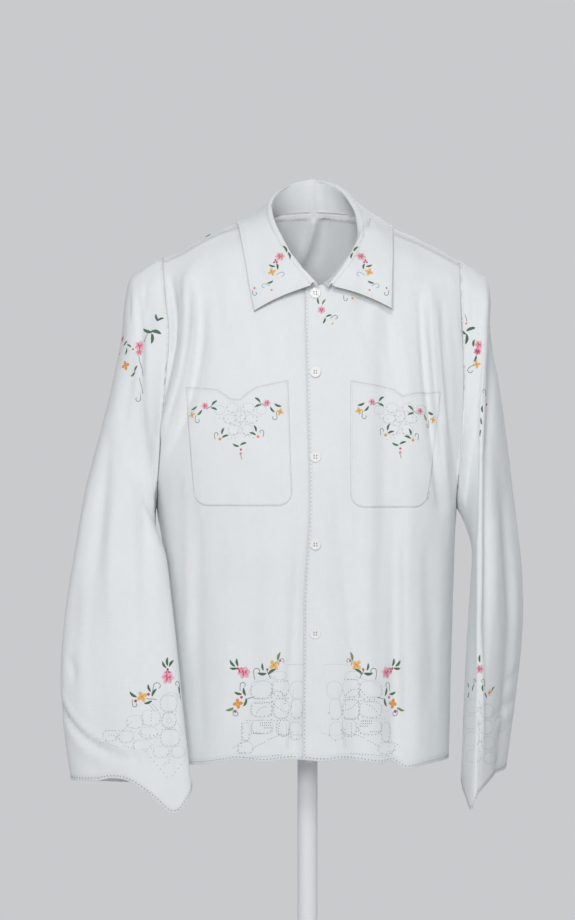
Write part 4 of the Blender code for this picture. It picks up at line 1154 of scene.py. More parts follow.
def tucked(grid, normals, row, length):
    """Adds a row past a sewn edge that dips under the piece sewn over it."""
    edge, inner = (grid[0], grid[1]) if row == 0 else (grid[-1], grid[-2])
    normal = normals[row]
    way = (edge - inner) / np.linalg.norm(edge - inner, axis=-1, keepdims=True)
    reach = length[:, None]
    dip = normal * (TUCK_DROP * (reach > 0.5))
    near = edge + way * (TUCK_NEAR * reach) - dip
    far = edge + way * reach - dip
    rows = [near[None], far[None]]
    return np.concatenate([*reversed(rows), grid]) if row == 0 else np.concatenate([grid, *rows])


def make_shell(name, grid, sewn=(), wall=SHELL_WALL, closed=False, flip=False, fine=True, tuck=None):
    """One thin shell of cloth on its solid's form."""
    shaped = creased(name, grid, sewn, closed, flip) if fine else grid
    visible = shaped
    if tuck is not None:
        edge = shaped[tuck]
        clear = smooth_step((np.abs(edge[:, 0] - CENTRE_LINE) - NECK_HALF_WIDTH) / TUCK_FADE)
        shaped = tucked(shaped, outward(shaped, closed, flip), tuck, TUCK * clear + TUCK_LEAST)
    rows, columns = shaped.shape[:2]
    faces = grid_faces(rows, columns, closed, flip)
    points = shaped.reshape(-1, 3)
    mesh = bpy.data.meshes.new(f"{name}_cloth")
    mesh.from_pydata((points * MM).tolist(), [], faces)
    cloth_uv(mesh, shaped, closed, flip)
    mesh.shade_smooth()
    obj = linked(f"{name}_cloth", mesh)
    obj.data.materials.append(linen_material())
    thicken = obj.modifiers.new("Wall", "SOLIDIFY")
    thicken.thickness = wall * MM
    thicken.offset = -1.0
    select_only(obj)
    bpy.ops.object.modifier_apply(modifier=thicken.name)
    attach(obj, "root")
    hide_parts(name)
    tree = BVHTree.FromPolygons([Vector(point) for point in points.tolist()], faces)
    shells[name] = Shell(visible, tree)
    return obj


def linked(name, data):
    """A new object of the scene."""
    obj = bpy.data.objects.new(name, data)
    bpy.context.scene.collection.objects.link(obj)
    return obj


def select_only(obj):
    bpy.ops.object.select_all(action="DESELECT")
    bpy.context.view_layer.objects.active = obj
    obj.select_set(True)


def node_group(name, inputs, outputs):
    """An empty shader node group with named sockets, the outputs of its input node and its output node."""
    group = bpy.data.node_groups.new(name, "ShaderNodeTree")
    for label, kind, value in inputs:
        socket = group.interface.new_socket(label, in_out="INPUT", socket_type=f"NodeSocket{kind}")
        socket.default_value = value
    for label, kind in outputs:
        group.interface.new_socket(label, in_out="OUTPUT", socket_type=f"NodeSocket{kind}")
    return group, group.nodes.new("NodeGroupInput").outputs, group.nodes.new("NodeGroupOutput")


def set_inputs(tree, node, inputs):
    """Joins a node's inputs to sockets, or sets them to plain values."""
    for name, value in inputs.items():
        if isinstance(value, bpy.types.NodeSocket):
            tree.links.new(value, node.inputs[name])
        else:
            node.inputs[name].default_value = value


def add_node(tree, kind, inputs, **settings):
    """The outputs of a new shader node, which is set first and then joined."""
    node = tree.nodes.new(f"ShaderNode{kind}")
    for name, value in settings.items():
        setattr(node, name, value)
    set_inputs(tree, node, inputs)
    return node.outputs


def mapped(tree, value, low, high, start, end):
    """A value taken from one range to another."""
    inputs = {"Value": value, "From Min": low, "From Max": high, "To Min": start, "To Max": end}
    return add_node(tree, "MapRange", inputs)["Result"]


def mix_colours(tree, factor, first, second, blend="MIX"):
    """A mix of two colours. The node's inputs 6 and 7 are its colours, and its output 2 is theirs."""
    inputs = {"Factor": factor, 6: first, 7: second}
    return add_node(tree, "Mix", inputs, data_type="RGBA", blend_type=blend)[2]


def weave_group():
    """Woven cloth: crossing threads, uneven slubs and a soft change of tone."""
    if "Linen weave" in bpy.data.node_groups:
        return bpy.data.node_groups["Linen weave"]
    group, given, out = node_group(
        "Linen weave",
        (
            ("Coordinates", "Vector", (0, 0, 0)),
            ("Cloth", "Color", (0.8, 0.8, 0.8, 1)),
            ("Shade", "Color", (0.7, 0.7, 0.7, 1)),
            ("Threads a metre", "Float", 1900.0),
        ),
        (("Colour", "Color"), ("Height", "Float"), ("Roughness", "Float")),
    )
    place, shade = given["Coordinates"], given["Shade"]
    woven = {
        "Distortion": 1.2, "Detail": 1.0, "Detail Scale": 0.4, "Vector": place,
        "Scale": given["Threads a metre"],
    }
    warp, weft = (add_node(group, "TexWave", woven, bands_direction=way)["Fac"] for way in ("X", "Y"))
    crossed = add_node(group, "Math", {0: warp, 1: weft}, operation="MULTIPLY")["Value"]
    slubs = []
    for stretch in ((60.0, 900.0, 1.0), (900.0, 60.0, 1.0)):
        drawn = add_node(group, "Mapping", {"Scale": stretch, "Vector": place})["Vector"]
        slubs.append(add_node(group, "TexNoise", {"Scale": 1.0, "Detail": 2.0, "Vector": drawn})["Fac"])
    slubbed = add_node(group, "Math", {0: slubs[0], 1: slubs[1]}, operation="ADD")["Value"]
    height = add_node(group, "Math", {0: slubbed, 1: 0.5, 2: crossed}, operation="MULTIPLY_ADD")["Value"]
    blotch = add_node(group, "TexNoise", {"Scale": 14.0, "Detail": 3.0, "Vector": place})["Fac"]
    toned = mix_colours(group, mapped(group, blotch, 0.35, 0.7, 0.0, 0.35), given["Cloth"], shade)
    grain = mapped(group, slubbed, 0.7, 1.3, 0.4, 0.0)
    rough = mapped(group, slubs[0], 0.0, 1.0, 0.78, 0.95)
    coloured = mix_colours(group, grain, toned, shade)
    set_inputs(group, out, {"Colour": coloured, "Height": height, "Roughness": rough})
    return group


def new_material(name):
    """A new material, its node tree and its shader."""
    made = bpy.data.materials.new(name)
    made.use_nodes = True
    return made, made.node_tree, made.node_tree.nodes["Principled BSDF"]


def bump(tree, height, strength, distance):
    inputs = {"Strength": strength, "Distance": distance, "Height": height}
    return add_node(tree, "Bump", inputs)["Normal"]


def linen_material():
    if "White table linen" in bpy.data.materials:
        return bpy.data.materials["White table linen"]
    looks = bpy.context.scene.shirt_looks
    made, tree, shader = new_material("White table linen")
    cloth = {
        "Coordinates": add_node(tree, "UVMap", {}, uv_map="weave")["UV"],
        "Cloth": (*looks.cloth_colour, 1), "Shade": (*looks.cloth_shade, 1),
        "Threads a metre": looks.threads_a_metre,
    }
    weave = add_node(tree, "Group", cloth, node_tree=weave_group())
    set_inputs(tree, shader, {
        "Base Color": weave["Colour"], "Roughness": weave["Roughness"], "Sheen Weight": 0.12,
        "Sheen Roughness": 0.5, "Specular IOR Level": 0.25,
        "Normal": bump(tree, weave["Height"], 0.25, 0.0004),
    })
    return made


def thread_group():
    """Satin stitches: fine threads side by side, banded with painted sheen and shade, with a change of tone
    along them.
    """
    if "Satin thread" in bpy.data.node_groups:
        return bpy.data.node_groups["Satin thread"]
    group, given, out = node_group(
        "Satin thread",
        (("Coordinates", "Vector", (0, 0, 0)), ("Thread", "Color", (0.8, 0.8, 0.8, 1))),
        (("Colour", "Color"), ("Height", "Float")),
    )
    laid = {"Scale": 0.8, "Distortion": 0.6, "Vector": given["Coordinates"]}
    wave = add_node(group, "TexWave", laid, bands_direction="Y")["Fac"]
    tone = add_node(group, "TexNoise", {"Scale": 0.9, "Vector": given["Coordinates"]})["Fac"]
    # Bands across the stitches: painted shade between neighbouring threads and painted sheen on their tops
    light = mix_colours(group, wave, (0.62, 0.62, 0.62, 1), (1.12, 1.12, 1.12, 1))
    shaded = mix_colours(group, 1.0, given["Thread"], light, "MULTIPLY")
    soft = mix_colours(group, tone, (0.75, 0.75, 0.75, 1), (1.2, 1.2, 1.2, 1))
    final = mix_colours(group, 1.0, shaded, soft, "MULTIPLY")
    set_inputs(group, out, {"Colour": final, "Height": wave})
    return group


def thread_material(thread):
    name = f"Thread {thread}"
    if name in bpy.data.materials:
        return bpy.data.materials[name]
    made, tree, shader = new_material(name)
    sewn = {
        "Thread": (*THREADS[thread], 1),
        "Coordinates": add_node(tree, "UVMap", {}, uv_map="stitch")["UV"],
    }
    satin = add_node(tree, "Group", sewn, node_tree=thread_group())
    set_inputs(tree, shader, {
        "Base Color": satin["Colour"], "Roughness": 0.45, "Sheen Weight": 0.2,
        "Normal": bump(tree, satin["Height"], 0.4, 0.0003),
    })
    return made


class Needlework:
    """Gathers raised stitches on one piece of cloth into one mesh, with a slot for each thread."""

    def __init__(self, name, on):
        self.name = name
        self.tree = shells[on].tree
        self.points = []
        self.faces = []
        self.slots = []
        self.uvs = []
        self.threads = []

    def seen(self, across, down):
        """The cloth's point and frame where the photo shows a place, or None past its edge."""
        x = EYE.x + (across - SEEN_CENTRE[0]) * SEEN_MM
        z = EYE.z + (SEEN_CENTRE[1] - down) * SEEN_MM
        way = (Vector((x, 0.0, z)) - EYE).normalized()
        place, normal, _, _ = self.tree.ray_cast(EYE, way)
        if place is None:
            return None
        right = Vector((1, 0, 0)) - normal * normal.x
        right = right.normalized() if right.length > 0.05 else Vector((0, 1, 0))
        return place, right, normal.cross(right)

    def on_cloth(self, point, height):
        place, normal, _, _ = self.tree.find_nearest(point)
        return place + normal * height

    def slot(self, thread):
        if thread not in self.threads:
            self.threads.append(thread)
        return self.threads.index(thread)

    def face(self, corners, uvs, thread):
        self.faces.append(corners)
        self.uvs.extend(uvs)
        self.slots.append(self.slot(thread))

    def band(self, start, marks, thread):
        """The faces of a band whose points come in threes: one side, its ridge, the other side."""
        for i, (low, high) in enumerate(zip(marks, marks[1:])):
            a = start + 3 * i
            b = a + 3
            self.face((a + 1, b + 1, b, a), ((0.5, low), (0.5, high), (0, high), (0, low)), thread)
            self.face((a + 2, b + 2, b + 1, a + 1), ((1, low), (1, high), (0.5, high), (0.5, low)), thread)

    def ribbon(self, spot, path, widths, thread, rise=0.55):
        """A raised band of stitches along a path, in millimetres from the spot."""
        place, right, up = spot
        start = len(self.points)
        run = 0.0
        marks = []
        for i, (u, v) in enumerate(path):
            ahead = path[min(i + 1, len(path) - 1)]
            behind = path[max(i - 1, 0)]
            du, dv = ahead[0] - behind[0], ahead[1] - behind[1]
            size = math.hypot(du, dv) or 1.0
            side = (-dv / size * widths[i], du / size * widths[i])
            if i:
                run += math.hypot(u - path[i - 1][0], v - path[i - 1][1])
            marks.append(run)
            for share, height in ((1, -0.1), (0, rise), (-1, -0.1)):
                point = place + right * (u + side[0] * share) + up * (v + side[1] * share)
                self.points.append(self.on_cloth(point, height))
        self.band(start, marks, thread)

    def disc(self, spot, u, v, radius, thread, rise=0.6, edge=-0.1, sides=8):
        place, right, up = spot
        middle = len(self.points)
        centre = place + right * u + up * v
        self.points.append(self.on_cloth(centre, rise))
        for i in range(sides):
            turn = 2 * math.pi * i / sides
            point = centre + right * (radius * math.cos(turn)) + up * (radius * math.sin(turn))
            self.points.append(self.on_cloth(point, edge))
        for i in range(sides):
            j = (i + 1) % sides
            uvs = ((0.5, radius), (0, 0.3 * i), (1, 0.3 * i))
            self.face((middle, middle + 1 + i, middle + 1 + j), uvs, thread)

    def line(self, points, thread, width=0.45, rise=0.4, dip=0.1):
        """A cord laid along points that are already on the cloth."""
        if len(points) < 2:
            return
        base = len(self.points)
        run = 0.0
        marks = []
        for i, point in enumerate(points):
            ahead = points[min(i + 1, len(points) - 1)]
            behind = points[max(i - 1, 0)]
            place, normal, _, _ = self.tree.find_nearest(point)
            half = width[i] if isinstance(width, list) else width
            side = normal.cross((ahead - behind).normalized()) * half
            if i:
                run += (point - points[i - 1]).length
            marks.append(run)
            low = place - normal * dip
            self.points.extend((low + side, place + normal * rise, low - side))
        self.band(base, marks, thread)

    def finish(self):
        """Makes the piece, which rides with the cloth under it."""
        mesh = bpy.data.meshes.new(self.name)
        mesh.from_pydata([tuple(point * MM) for point in self.points], [], self.faces)
        for thread in self.threads:
            mesh.materials.append(thread_material(thread))
        layer = mesh.uv_layers.new(name="stitch")
        layer.data.foreach_set("uv", [value for uv in self.uvs for value in uv])
        mesh.polygons.foreach_set("material_index", self.slots)
        mesh.shade_smooth()
        obj = linked(self.name, mesh)
        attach(obj, "root")
        return obj


def turned(u, v, degrees, flip):
    angle = math.radians(degrees)
    x = u * math.cos(angle) - v * math.sin(angle)
    y = u * math.sin(angle) + v * math.cos(angle)
    return (-x if flip else x, y)


def sew_leaf(work, spot, stitch, flip):
    """A pointed leaf of satin stitch with a light vein."""
    steps = 6
    size = LEAF_SIZE * stitch.size
    bow, half_width = 0.1 * size, 0.19 * size
    path = []
    widths = []
    for i in range(steps + 1):
        t = i / steps
        path.append(turned((t - 0.5) * size, bow * math.sin(math.pi * t), stitch.turn, flip))
        widths.append(half_width * math.sin(math.pi * (0.05 + 0.92 * t)) ** 0.75)
    work.ribbon(spot, path, widths, stitch.thread)
    work.ribbon(spot, path[1:-1], [0.2] * (steps - 1), "leaf_light", rise=0.75)


def sew_petals(work, spot, size, count, turn, thread, rise, flip, inner=0.1, plump=0.42):
    for k in range(count):
        angle = turn + 360 * k / count
        path = [turned(size * (inner + (1 - inner) * t), 0, angle, flip) for t in (0, 0.35, 0.7, 1)]
        widths = [0.16 * size, plump * size, 0.95 * plump * size, 0.14 * size]
        work.ribbon(spot, path, widths, thread, rise)


def sew_rose(work, spot, stitch, flip):
    """Three rounds of petals, pale outside and deep inside."""
    outer, inner = ("rose_pale", "rose_dark") if stitch.thread == "rose_light" else ("rose_light", "purple")
    sew_petals(work, spot, stitch.size * 1.2, 6, stitch.turn, outer, 0.5, flip)
    sew_petals(work, spot, stitch.size * 0.85, 5, stitch.turn + 30, stitch.thread, 0.75, flip)
    sew_petals(work, spot, stitch.size * 0.62, 3, stitch.turn + 5, inner, 1.1, flip, 0.1, 0.3)


def sew_bud(work, spot, stitch, flip):
    sew_petals(work, spot, stitch.size, 3, stitch.turn, stitch.thread, 0.6, flip)


def sew_flower(work, spot, stitch, flip):
    """Four plump petals in one colour round a deeper heart."""
    other = "orange" if stitch.thread == "yellow" else "yellow"
    sew_petals(work, spot, stitch.size * 1.15, 4, stitch.turn, stitch.thread, 0.55, flip, 0.12, 0.42)
    sew_petals(work, spot, stitch.size * 0.6, 4, stitch.turn + 12, other, 0.8, flip, 0.1, 0.26)


def sew_scroll(work, spot, stitch, flip):
    """A crook of outline stitch: a stalk, then a curl over its top. A negative size curls to the left."""
    radius = abs(stitch.size)
    hand = 1 if stitch.size > 0 else -1
    path = [(-radius, -1.9 * radius), (-1.05 * radius, -radius)]
    steps = 12
    for i in range(steps + 1):
        t = i / steps
        angle = math.pi * (1 - 1.3 * t)
        reach = radius * (1 - 0.4 * t)
        path.append((reach * math.cos(angle), reach * math.sin(angle)))
    path = [turned(hand * u, v, stitch.turn, flip) for u, v in path]
    work.ribbon(spot, path, [0.48] * len(path), stitch.thread, 0.5)


def sew_stem(work, spot, stitch, flip):
    steps = 6
    path = []
    for i in range(steps + 1):
        t = i / steps - 0.5
        path.append(turned(t * stitch.size, 0.12 * stitch.size * math.sin(3 * t), stitch.turn, flip))
    work.ribbon(spot, path, [0.42] * (steps + 1), stitch.thread, 0.45)


def sew_dot(work, spot, stitch, flip):
    work.disc(spot, 0, 0, stitch.size, stitch.thread, rise=0.7)
    work.disc(spot, 0.5, 0.5, stitch.size * 0.3, "rose_light", rise=0.85, edge=0.4)


SEW = {
    "leaf": sew_leaf, "rose": sew_rose, "bud": sew_bud, "flower": sew_flower,
    "scroll": sew_scroll, "stem": sew_stem, "dot": sew_dot,
}


def sew_sprays():
    for (name, on), sprays in SPRAYS.items():
        work = Needlework(name, on)
        for spray in sprays:
            side = -1 if spray.mirrored else 1
            for stitch in spray.table:
                spot = work.seen(spray.across + side * stitch.across, spray.down + stitch.down)
                if spot is not None:
                    SEW[stitch.kind](work, spot, stitch, spray.mirrored)
        work.finish()


def cord_trail(work, lace, cord, side):
    """The points of the cloth along one cord, short of any that miss it."""
    heading = cord.turn
    across, down = cord.across, cord.down
    trail = []
    for _ in range(CORD_STEPS + 1):
        spot = work.seen(lace.across + side * across, lace.down + down)
        if spot is not None:
            trail.append(spot[0])
        across += cord.length / CORD_STEPS * math.cos(math.radians(heading))
        down -= cord.length / CORD_STEPS * math.sin(math.radians(heading))
        heading += cord.sweep / CORD_STEPS
    return trail


def patch_trail(work, lace, patch, side):
    """The points of the cloth round one patch's outline."""
    trail = []
    for i in range(PATCH_STEPS + 1):
        turn = 2 * math.pi * i / PATCH_STEPS
        u, v = math.cos(turn), math.sin(turn)
        reach = (abs(u) ** patch.square + abs(v) ** patch.square) ** (-1 / patch.square)
        across = patch.across + u * reach * patch.wide / 2
        down = patch.down + v * reach * patch.high / 2
        spot = work.seen(lace.across + side * across, lace.down + down)
        if spot is not None:
            trail.append(spot[0])
    return trail


def sew_holes(work, trail, count, thread, share=1.0, aside=1.1):
    """Pinholes in a row beside the first share of a trail, each a flat disc of painted shade."""
    for k in range(count):
        t = (k + 0.5) / count * (len(trail) - 1) * share
        i = min(int(t), len(trail) - 2)
        way = (trail[i + 1] - trail[i]).normalized()
        point = trail[i].lerp(trail[i + 1], t - i) + way.cross(Vector((0, -1, 0))) * aside
        spot = (point, Vector((1, 0, 0)), Vector((0, 0, 1)))
        work.disc(spot, 0, 0, HOLE_RADIUS, thread, rise=0.14, edge=0.1, sides=6)


def sew_cutwork():
    for lace in LACES:
        work = Needlework(lace.name, lace.on)
        side = -1 if lace.mirrored else 1
        # Cords and outlines are laid in grey thread, painted shade along the white cord
        for cord in lace.table:
            trail = cord_trail(work, lace, cord, side)
            if len(trail) >= CORD_LEAST:
                if not cord.holes:
                    work.line(trail, "faint", CORD_HALF, 0.3)
                sew_holes(work, trail, cord.holes, lace.hole)
        for patch in lace.patches:
            trail = patch_trail(work, lace, patch, side)
            if len(trail) >= PATCH_LEAST:
                work.line(trail, "faint", PATCH_HALF, 0.35)
                sew_holes(work, trail, patch.holes, lace.hole, PATCH_HOLED)
        work.finish()


def walk(points, spacing):
    """Points evenly spaced along a broken line."""
    lengths = np.concatenate([[0], np.cumsum(np.linalg.norm(np.diff(points, axis=0), axis=1))])
    count = max(2, int(lengths[-1] / spacing))
    marks = np.linspace(0, lengths[-1], count)
    return np.stack([np.interp(marks, lengths, points[:, k]) for k in range(3)], axis=1)


def stitch_run(work, points, length=2.3, gap=1.1, radius=0.28, thread="white"):
    """A line of sewing: short threads laid end to end with small gaps."""
    trail = walk(np.asarray(points, float), length + gap)
    share = length / (length + gap)
    for start, end in zip(trail[:-1], trail[1:]):
        stop = start + (end - start) * share
        ends = [Vector(start), Vector(start * 0.5 + stop * 0.5), Vector(stop)]
        work.line(ends, thread, radius, 0.35)


def edge_band(work, points, width, rise, spacing=0.9, scallop=0.0, period=3.4, dip=0.1):
    """A satin edge round a piece's cut edge. Its scallops swell and shrink along it."""
    trail = walk(np.asarray(points, float), spacing)
    widths = [width + scallop * abs(math.sin(math.pi * i * spacing / period)) for i in range(len(trail))]
    work.line([Vector(point) for point in trail], "white", widths, rise, dip)


def inside_line(grid, row=None, column=None, shift=0.0):
    """A line of a shell's points beside one of its edges."""
    if row is not None:
        step = 1 if row == 0 else -1
        edge, inner = grid[row], grid[row + 2 * step]
    else:
        step = 1 if column == 0 else -1
        edge, inner = grid[:, column], grid[:, column + 2 * step]
    way = inner - edge
    return edge + way / np.linalg.norm(way, axis=-1, keepdims=True) * shift


def lace_edge(work, line_at):
    """A scalloped rim, dashes of painted shade for pulled threads inside it and two fine rows of sewing."""
    edge_band(work, line_at(1.0), width=0.8, rise=0.35, scallop=0.45)
    stitch_run(work, line_at(3.4), length=1.2, gap=3.0, radius=0.62, thread="shadow")
    stitch_run(work, line_at(5.6), length=2.0, gap=0.7, radius=0.26)
    edge_band(work, line_at(7.4), width=0.3, rise=0.3, spacing=2.0)


def sew_hem(name):
    """The rim of a body panel's hem, then the closing edge or the seams that it carries."""
    work = Needlework(f"{name}_hem_sewing", name)
    grid = shells[name].grid
    lace_edge(work, lambda shift: inside_line(grid, row=0, shift=shift))
    if name == "front_wearer_left":
        rim, marks, sewn = (inside_line(grid, column=0, shift=shift) for shift in (0.7, 2.4, 4.2))
        edge_band(work, rim, width=0.6, rise=0.6, scallop=0.3, period=5.0)
        # Dashes of painted shade beside the closing edge, like the hem's row of pulled threads
        stitch_run(work, marks, length=1.6, gap=3.4, radius=0.3, thread="shadow")
        stitch_run(work, sewn)
    if name == "back":
        for seam in (grid[-1], grid[:, 0], grid[:, -1]):
            edge_band(work, seam, width=SEAM_COVER, rise=0.3, spacing=2.5, dip=0.9)
    work.finish()


def sew_sleeve(name):
    """A cuff's rim, the thread over the armhole's seam and a row of sewing beside it."""
    work = Needlework(f"{name}_edge_sewing", name)
    grid = shells[name].grid
    lace_edge(work, lambda shift: closed_ring(inside_line(grid, row=-1, shift=shift)))
    edge_band(work, closed_ring(grid[0]), width=1.2, rise=0.2, spacing=1.6, dip=0.5)
    stitch_run(work, closed_ring(inside_line(grid, row=0, shift=3.0)))
    work.finish()


def sew_collar():
    """The collar's rims and rows, the dark line at both ends of its fall, and the tape of the neck."""
    work = Needlework("collar_edge_sewing", "collar")
    grid = shells["collar"].grid
    for side in ({"row": 0}, {"row": -1}, {"column": -1}):
        edge_band(work, inside_line(grid, **side, shift=0.7), width=0.5, rise=0.5, spacing=1.5)
        stitch_run(work, inside_line(grid, **side, shift=4.5))
    for row in (0, -1):
        trail = walk(inside_line(grid, row=row, shift=0.1)[grid.shape[1] // 2:], 2.0)
        work.line([Vector(point) for point in trail], "olive", width=0.45, rise=0.8)
    neck_tape(work, grid)
    work.finish()


def sew_pocket(name):
    """A pocket's rim, the thread over the gap round it and its rows of sewing."""
    work = Needlework(f"{name}_edge_sewing", name)
    grid = shells[name].grid
    edge_band(work, inside_line(grid, row=-1, shift=0.7), width=0.6, rise=0.6, scallop=0.5)
    for edge in (grid[0], grid[:, 0], grid[:, -1], grid[-1]):
        edge_band(work, edge, width=1.1, rise=0.1, spacing=1.2, dip=1.5)
    for side in ({"row": 0}, {"column": 0}, {"column": -1}):
        stitch_run(work, inside_line(grid, **side, shift=1.8))
    stitch_run(work, inside_line(grid, row=-1, shift=3.4))
    work.finish()


def sew_edges():
    for name in ("front_wearer_right", "front_wearer_left", "back"):
        sew_hem(name)
    for name in ("sleeve_wearer_right", "sleeve_wearer_left"):
        sew_sleeve(name)
    sew_collar()
    for name in ("pocket_wearer_right", "pocket_wearer_left"):
        sew_pocket(name)


def neck_tape(work, grid):
    """Tape round the back of the neck, over the step between the collar's foot and the cloth."""
    normals = outward(grid, False, True)
    base = len(work.points)
    rows = [r for r in range(grid.shape[0]) if grid[r, 0, 1] > NECK_SIDE]
    for r in rows:
        foot = Vector(grid[r, 0])
        normal = Vector(normals[r, 1])
        down = Vector(grid[r, 0] - grid[r, 2]).normalized()
        below = foot - Vector((0, 0, TAPE_REACH))
        found = [shells[name].tree.find_nearest(below) for name in NECK_PIECES]
        place, inner, _, _ = min(found, key=lambda hit: hit[3])
        low = place - inner * TAPE_CLEAR
        work.points.extend((foot - down * 2.0 + normal * 0.15, foot + normal * 0.3, low))
    for r in range(len(rows) - 1):
        a = base + 3 * r
        for k in range(2):
            corners = (a + k, a + k + 3, a + k + 4, a + k + 1)
            uvs = ((0, r), (0, r + 1), (1, r + 1), (1, r))
            work.face(corners, uvs, "white")


def closed_ring(ring):
    return np.concatenate([ring, ring[:1]])


def dress_buttons():
    """Buttons keep their solids. Each gets four holes, shown as discs of painted shade, and two parallel
    threads.
    """
    over = over_front_grid()
    dish = BUTTON_THICK / 2 * BUTTON_DISH
    for i, height in enumerate(BUTTON_HEIGHTS, start=1):
        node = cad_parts[f"button_{i}"]
        set_material(node, button_material())
        point, normal = grid_at(over, BUTTON_X, height)
        face = Vector(point + normal * (BUTTON_THICK / 2 + BUTTON_SEAT + dish))
        normal = Vector(normal)
        right = (Vector((1, 0, 0)) - normal * normal.x).normalized()
        up = normal.cross(right)
        rods = []
        for sign in (-1, 1):
            aside = face + right * HOLE_OFFSET * sign
            rods.append((aside - up * HOLE_OFFSET, aside + up * HOLE_OFFSET))
        sew_rods(f"button_{i}_thread", rods, normal)


def sew_rods(name, rods, normal):
    """Threads that bridge a button's holes, each a small hump with a disc of painted shade for the hole at
    either end.
    """
    points = []
    faces = []
    slots = []
    for start, end in rods:
        along_rod = (end - start).normalized()
        aside = along_rod.cross(normal) * THREAD_HALF
        base = len(points)
        for t in (0, 0.25, 0.5, 0.75, 1):
            rise = THREAD_ENDS + THREAD_ARCH * math.sin(math.pi * t)
            middle = start.lerp(end, t)
            points.extend((middle + aside, middle + normal * rise + normal * THREAD_TOP, middle - aside))
        for k in range(4):
            a = base + 3 * k
            faces.extend(((a, a + 1, a + 4, a + 3), (a + 1, a + 2, a + 5, a + 4)))
            slots.extend((0, 0))
        for hole in (start, end):
            base = len(points)
            points.append(hole + normal * 0.06)
            for k in range(DARK_SIDES):
                turn = 2 * math.pi * k / DARK_SIDES
                ray = along_rod * math.cos(turn) + along_rod.cross(normal) * math.sin(turn)
                points.append(hole + ray * DARK_RADIUS + normal * 0.04)
            for k in range(DARK_SIDES):
                faces.append((base, base + 1 + (k + 1) % DARK_SIDES, base + 1 + k))
                slots.append(1)
    mesh = bpy.data.meshes.new(name)
    mesh.from_pydata([tuple(point * MM) for point in points], [], faces)
    mesh.uv_layers.new(name="stitch")
    mesh.materials.append(thread_material("white"))
    mesh.materials.append(thread_material("shadow"))
    mesh.polygons.foreach_set("material_index", slots)
    obj = linked(name, mesh)
    select_only(obj)
    bpy.ops.object.mode_set(mode="EDIT")
    bpy.ops.mesh.select_all(action="SELECT")
    bpy.ops.mesh.normals_make_consistent(inside=False)
    bpy.ops.object.mode_set(mode="OBJECT")
    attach(obj, "root")
    return obj


def set_material(obj, made):
    for slot in obj.material_slots:
        slot.material = made


def wear_group():
    """Painted metal: a fine orange peel and a faint darkening in patches."""
    if "Paint film" in bpy.data.node_groups:
        return bpy.data.node_groups["Paint film"]
    group, given, out = node_group(
        "Paint film",
        (
            ("Paint", "Color", (0.8, 0.8, 0.8, 1)),
            ("Soil", "Color", (0.5, 0.5, 0.5, 1)),
            ("Patches", "Float", 25.0),
        ),
        (("Colour", "Color"), ("Height", "Float"), ("Roughness", "Float")),
    )
    place = add_node(group, "TexCoord", {})["Object"]
    soiled = {"Detail": 4.0, "Vector": place, "Scale": given["Patches"]}
    patches = add_node(group, "TexNoise", soiled)["Fac"]
    share = mapped(group, patches, 0.55, 0.9, 0.0, 0.3)
    set_inputs(group, out, {
        "Colour": mix_colours(group, share, given["Paint"], given["Soil"]),
        "Height": add_node(group, "TexNoise", {"Scale": 900.0, "Vector": place})["Fac"],
        "Roughness": mapped(group, patches, 0.0, 1.0, 0.28, 0.5),
    })
    return group


def film_material(name, paint, soil, patches, height):
    if name in bpy.data.materials:
        return bpy.data.materials[name]
    made, tree, shader = new_material(name)
    worn = {"Paint": (*paint, 1), "Soil": (*soil, 1), "Patches": patches}
    film = add_node(tree, "Group", worn, node_tree=wear_group())
    set_inputs(tree, shader, {
        "Base Color": film["Colour"], "Roughness": film["Roughness"], "Coat Weight": 0.15,
        "Normal": bump(tree, film["Height"], height, 0.0002),
    })
    return made


def button_material():
    looks = bpy.context.scene.shirt_looks
    return film_material("White shirt button", looks.button_colour, (0.62, 0.62, 0.58), 60.0, 0.05)


def stand_material():
    looks = bpy.context.scene.shirt_looks
    return film_material("White painted stand", looks.stand_colour, (0.55, 0.56, 0.57), 9.0, 0.12)


class ShirtLooks(bpy.types.PropertyGroup):
    """Sizes and colours that a user would change."""

    cloth_colour: bpy.props.FloatVectorProperty(
        name="Cloth", description="Colour of the bleached cloth", default=(0.82, 0.845, 0.85),
        subtype="COLOR", min=0.0, max=1.0,
    )
    cloth_shade: bpy.props.FloatVectorProperty(
        name="Cloth in the weave", description="Deeper tone between the threads and in soft patches",
        default=(0.73, 0.755, 0.765), subtype="COLOR", min=0.0, max=1.0,
    )
    threads_a_metre: bpy.props.FloatProperty(
        name="Threads a metre", description="How close the weave's threads lie", default=1900.0, min=500.0,
    )
    button_colour: bpy.props.FloatVectorProperty(
        name="Buttons", description="Colour of the shirt's buttons", default=(0.84, 0.84, 0.82),
        subtype="COLOR", min=0.0, max=1.0,
    )
    stand_colour: bpy.props.FloatVectorProperty(
        name="Stand", description="Colour of the stand's paint", default=(0.80, 0.81, 0.83),
        subtype="COLOR", min=0.0, max=1.0,
    )
    floor_size: bpy.props.FloatProperty(
        name="Floor", description="Side of the square floor", default=5.0, unit="LENGTH", min=1.0,
    )
    camera_distance: bpy.props.FloatProperty(
        name="Camera distance", description="How far the camera stands before the shirt", default=4.0,
        unit="LENGTH", min=1.0,
    )
    view_height: bpy.props.FloatProperty(
        name="View height", description="Height that the camera takes in at the shirt", default=1.15,
        unit="LENGTH", min=0.1,
    )


class SHIRT_OT_fronts(bpy.types.Operator):
    """Makes the two fronts' cloth"""

    bl_idname = "shirt.fronts"
    bl_label = "Fronts"

    def execute(self, context):
        sewn = ("last_row", "last_column")
        make_shell("front_wearer_right", under_front_grid(), sewn, flip=True, tuck=-1)
        make_shell("front_wearer_left", over_front_grid(), sewn, tuck=-1)
        return {"FINISHED"}


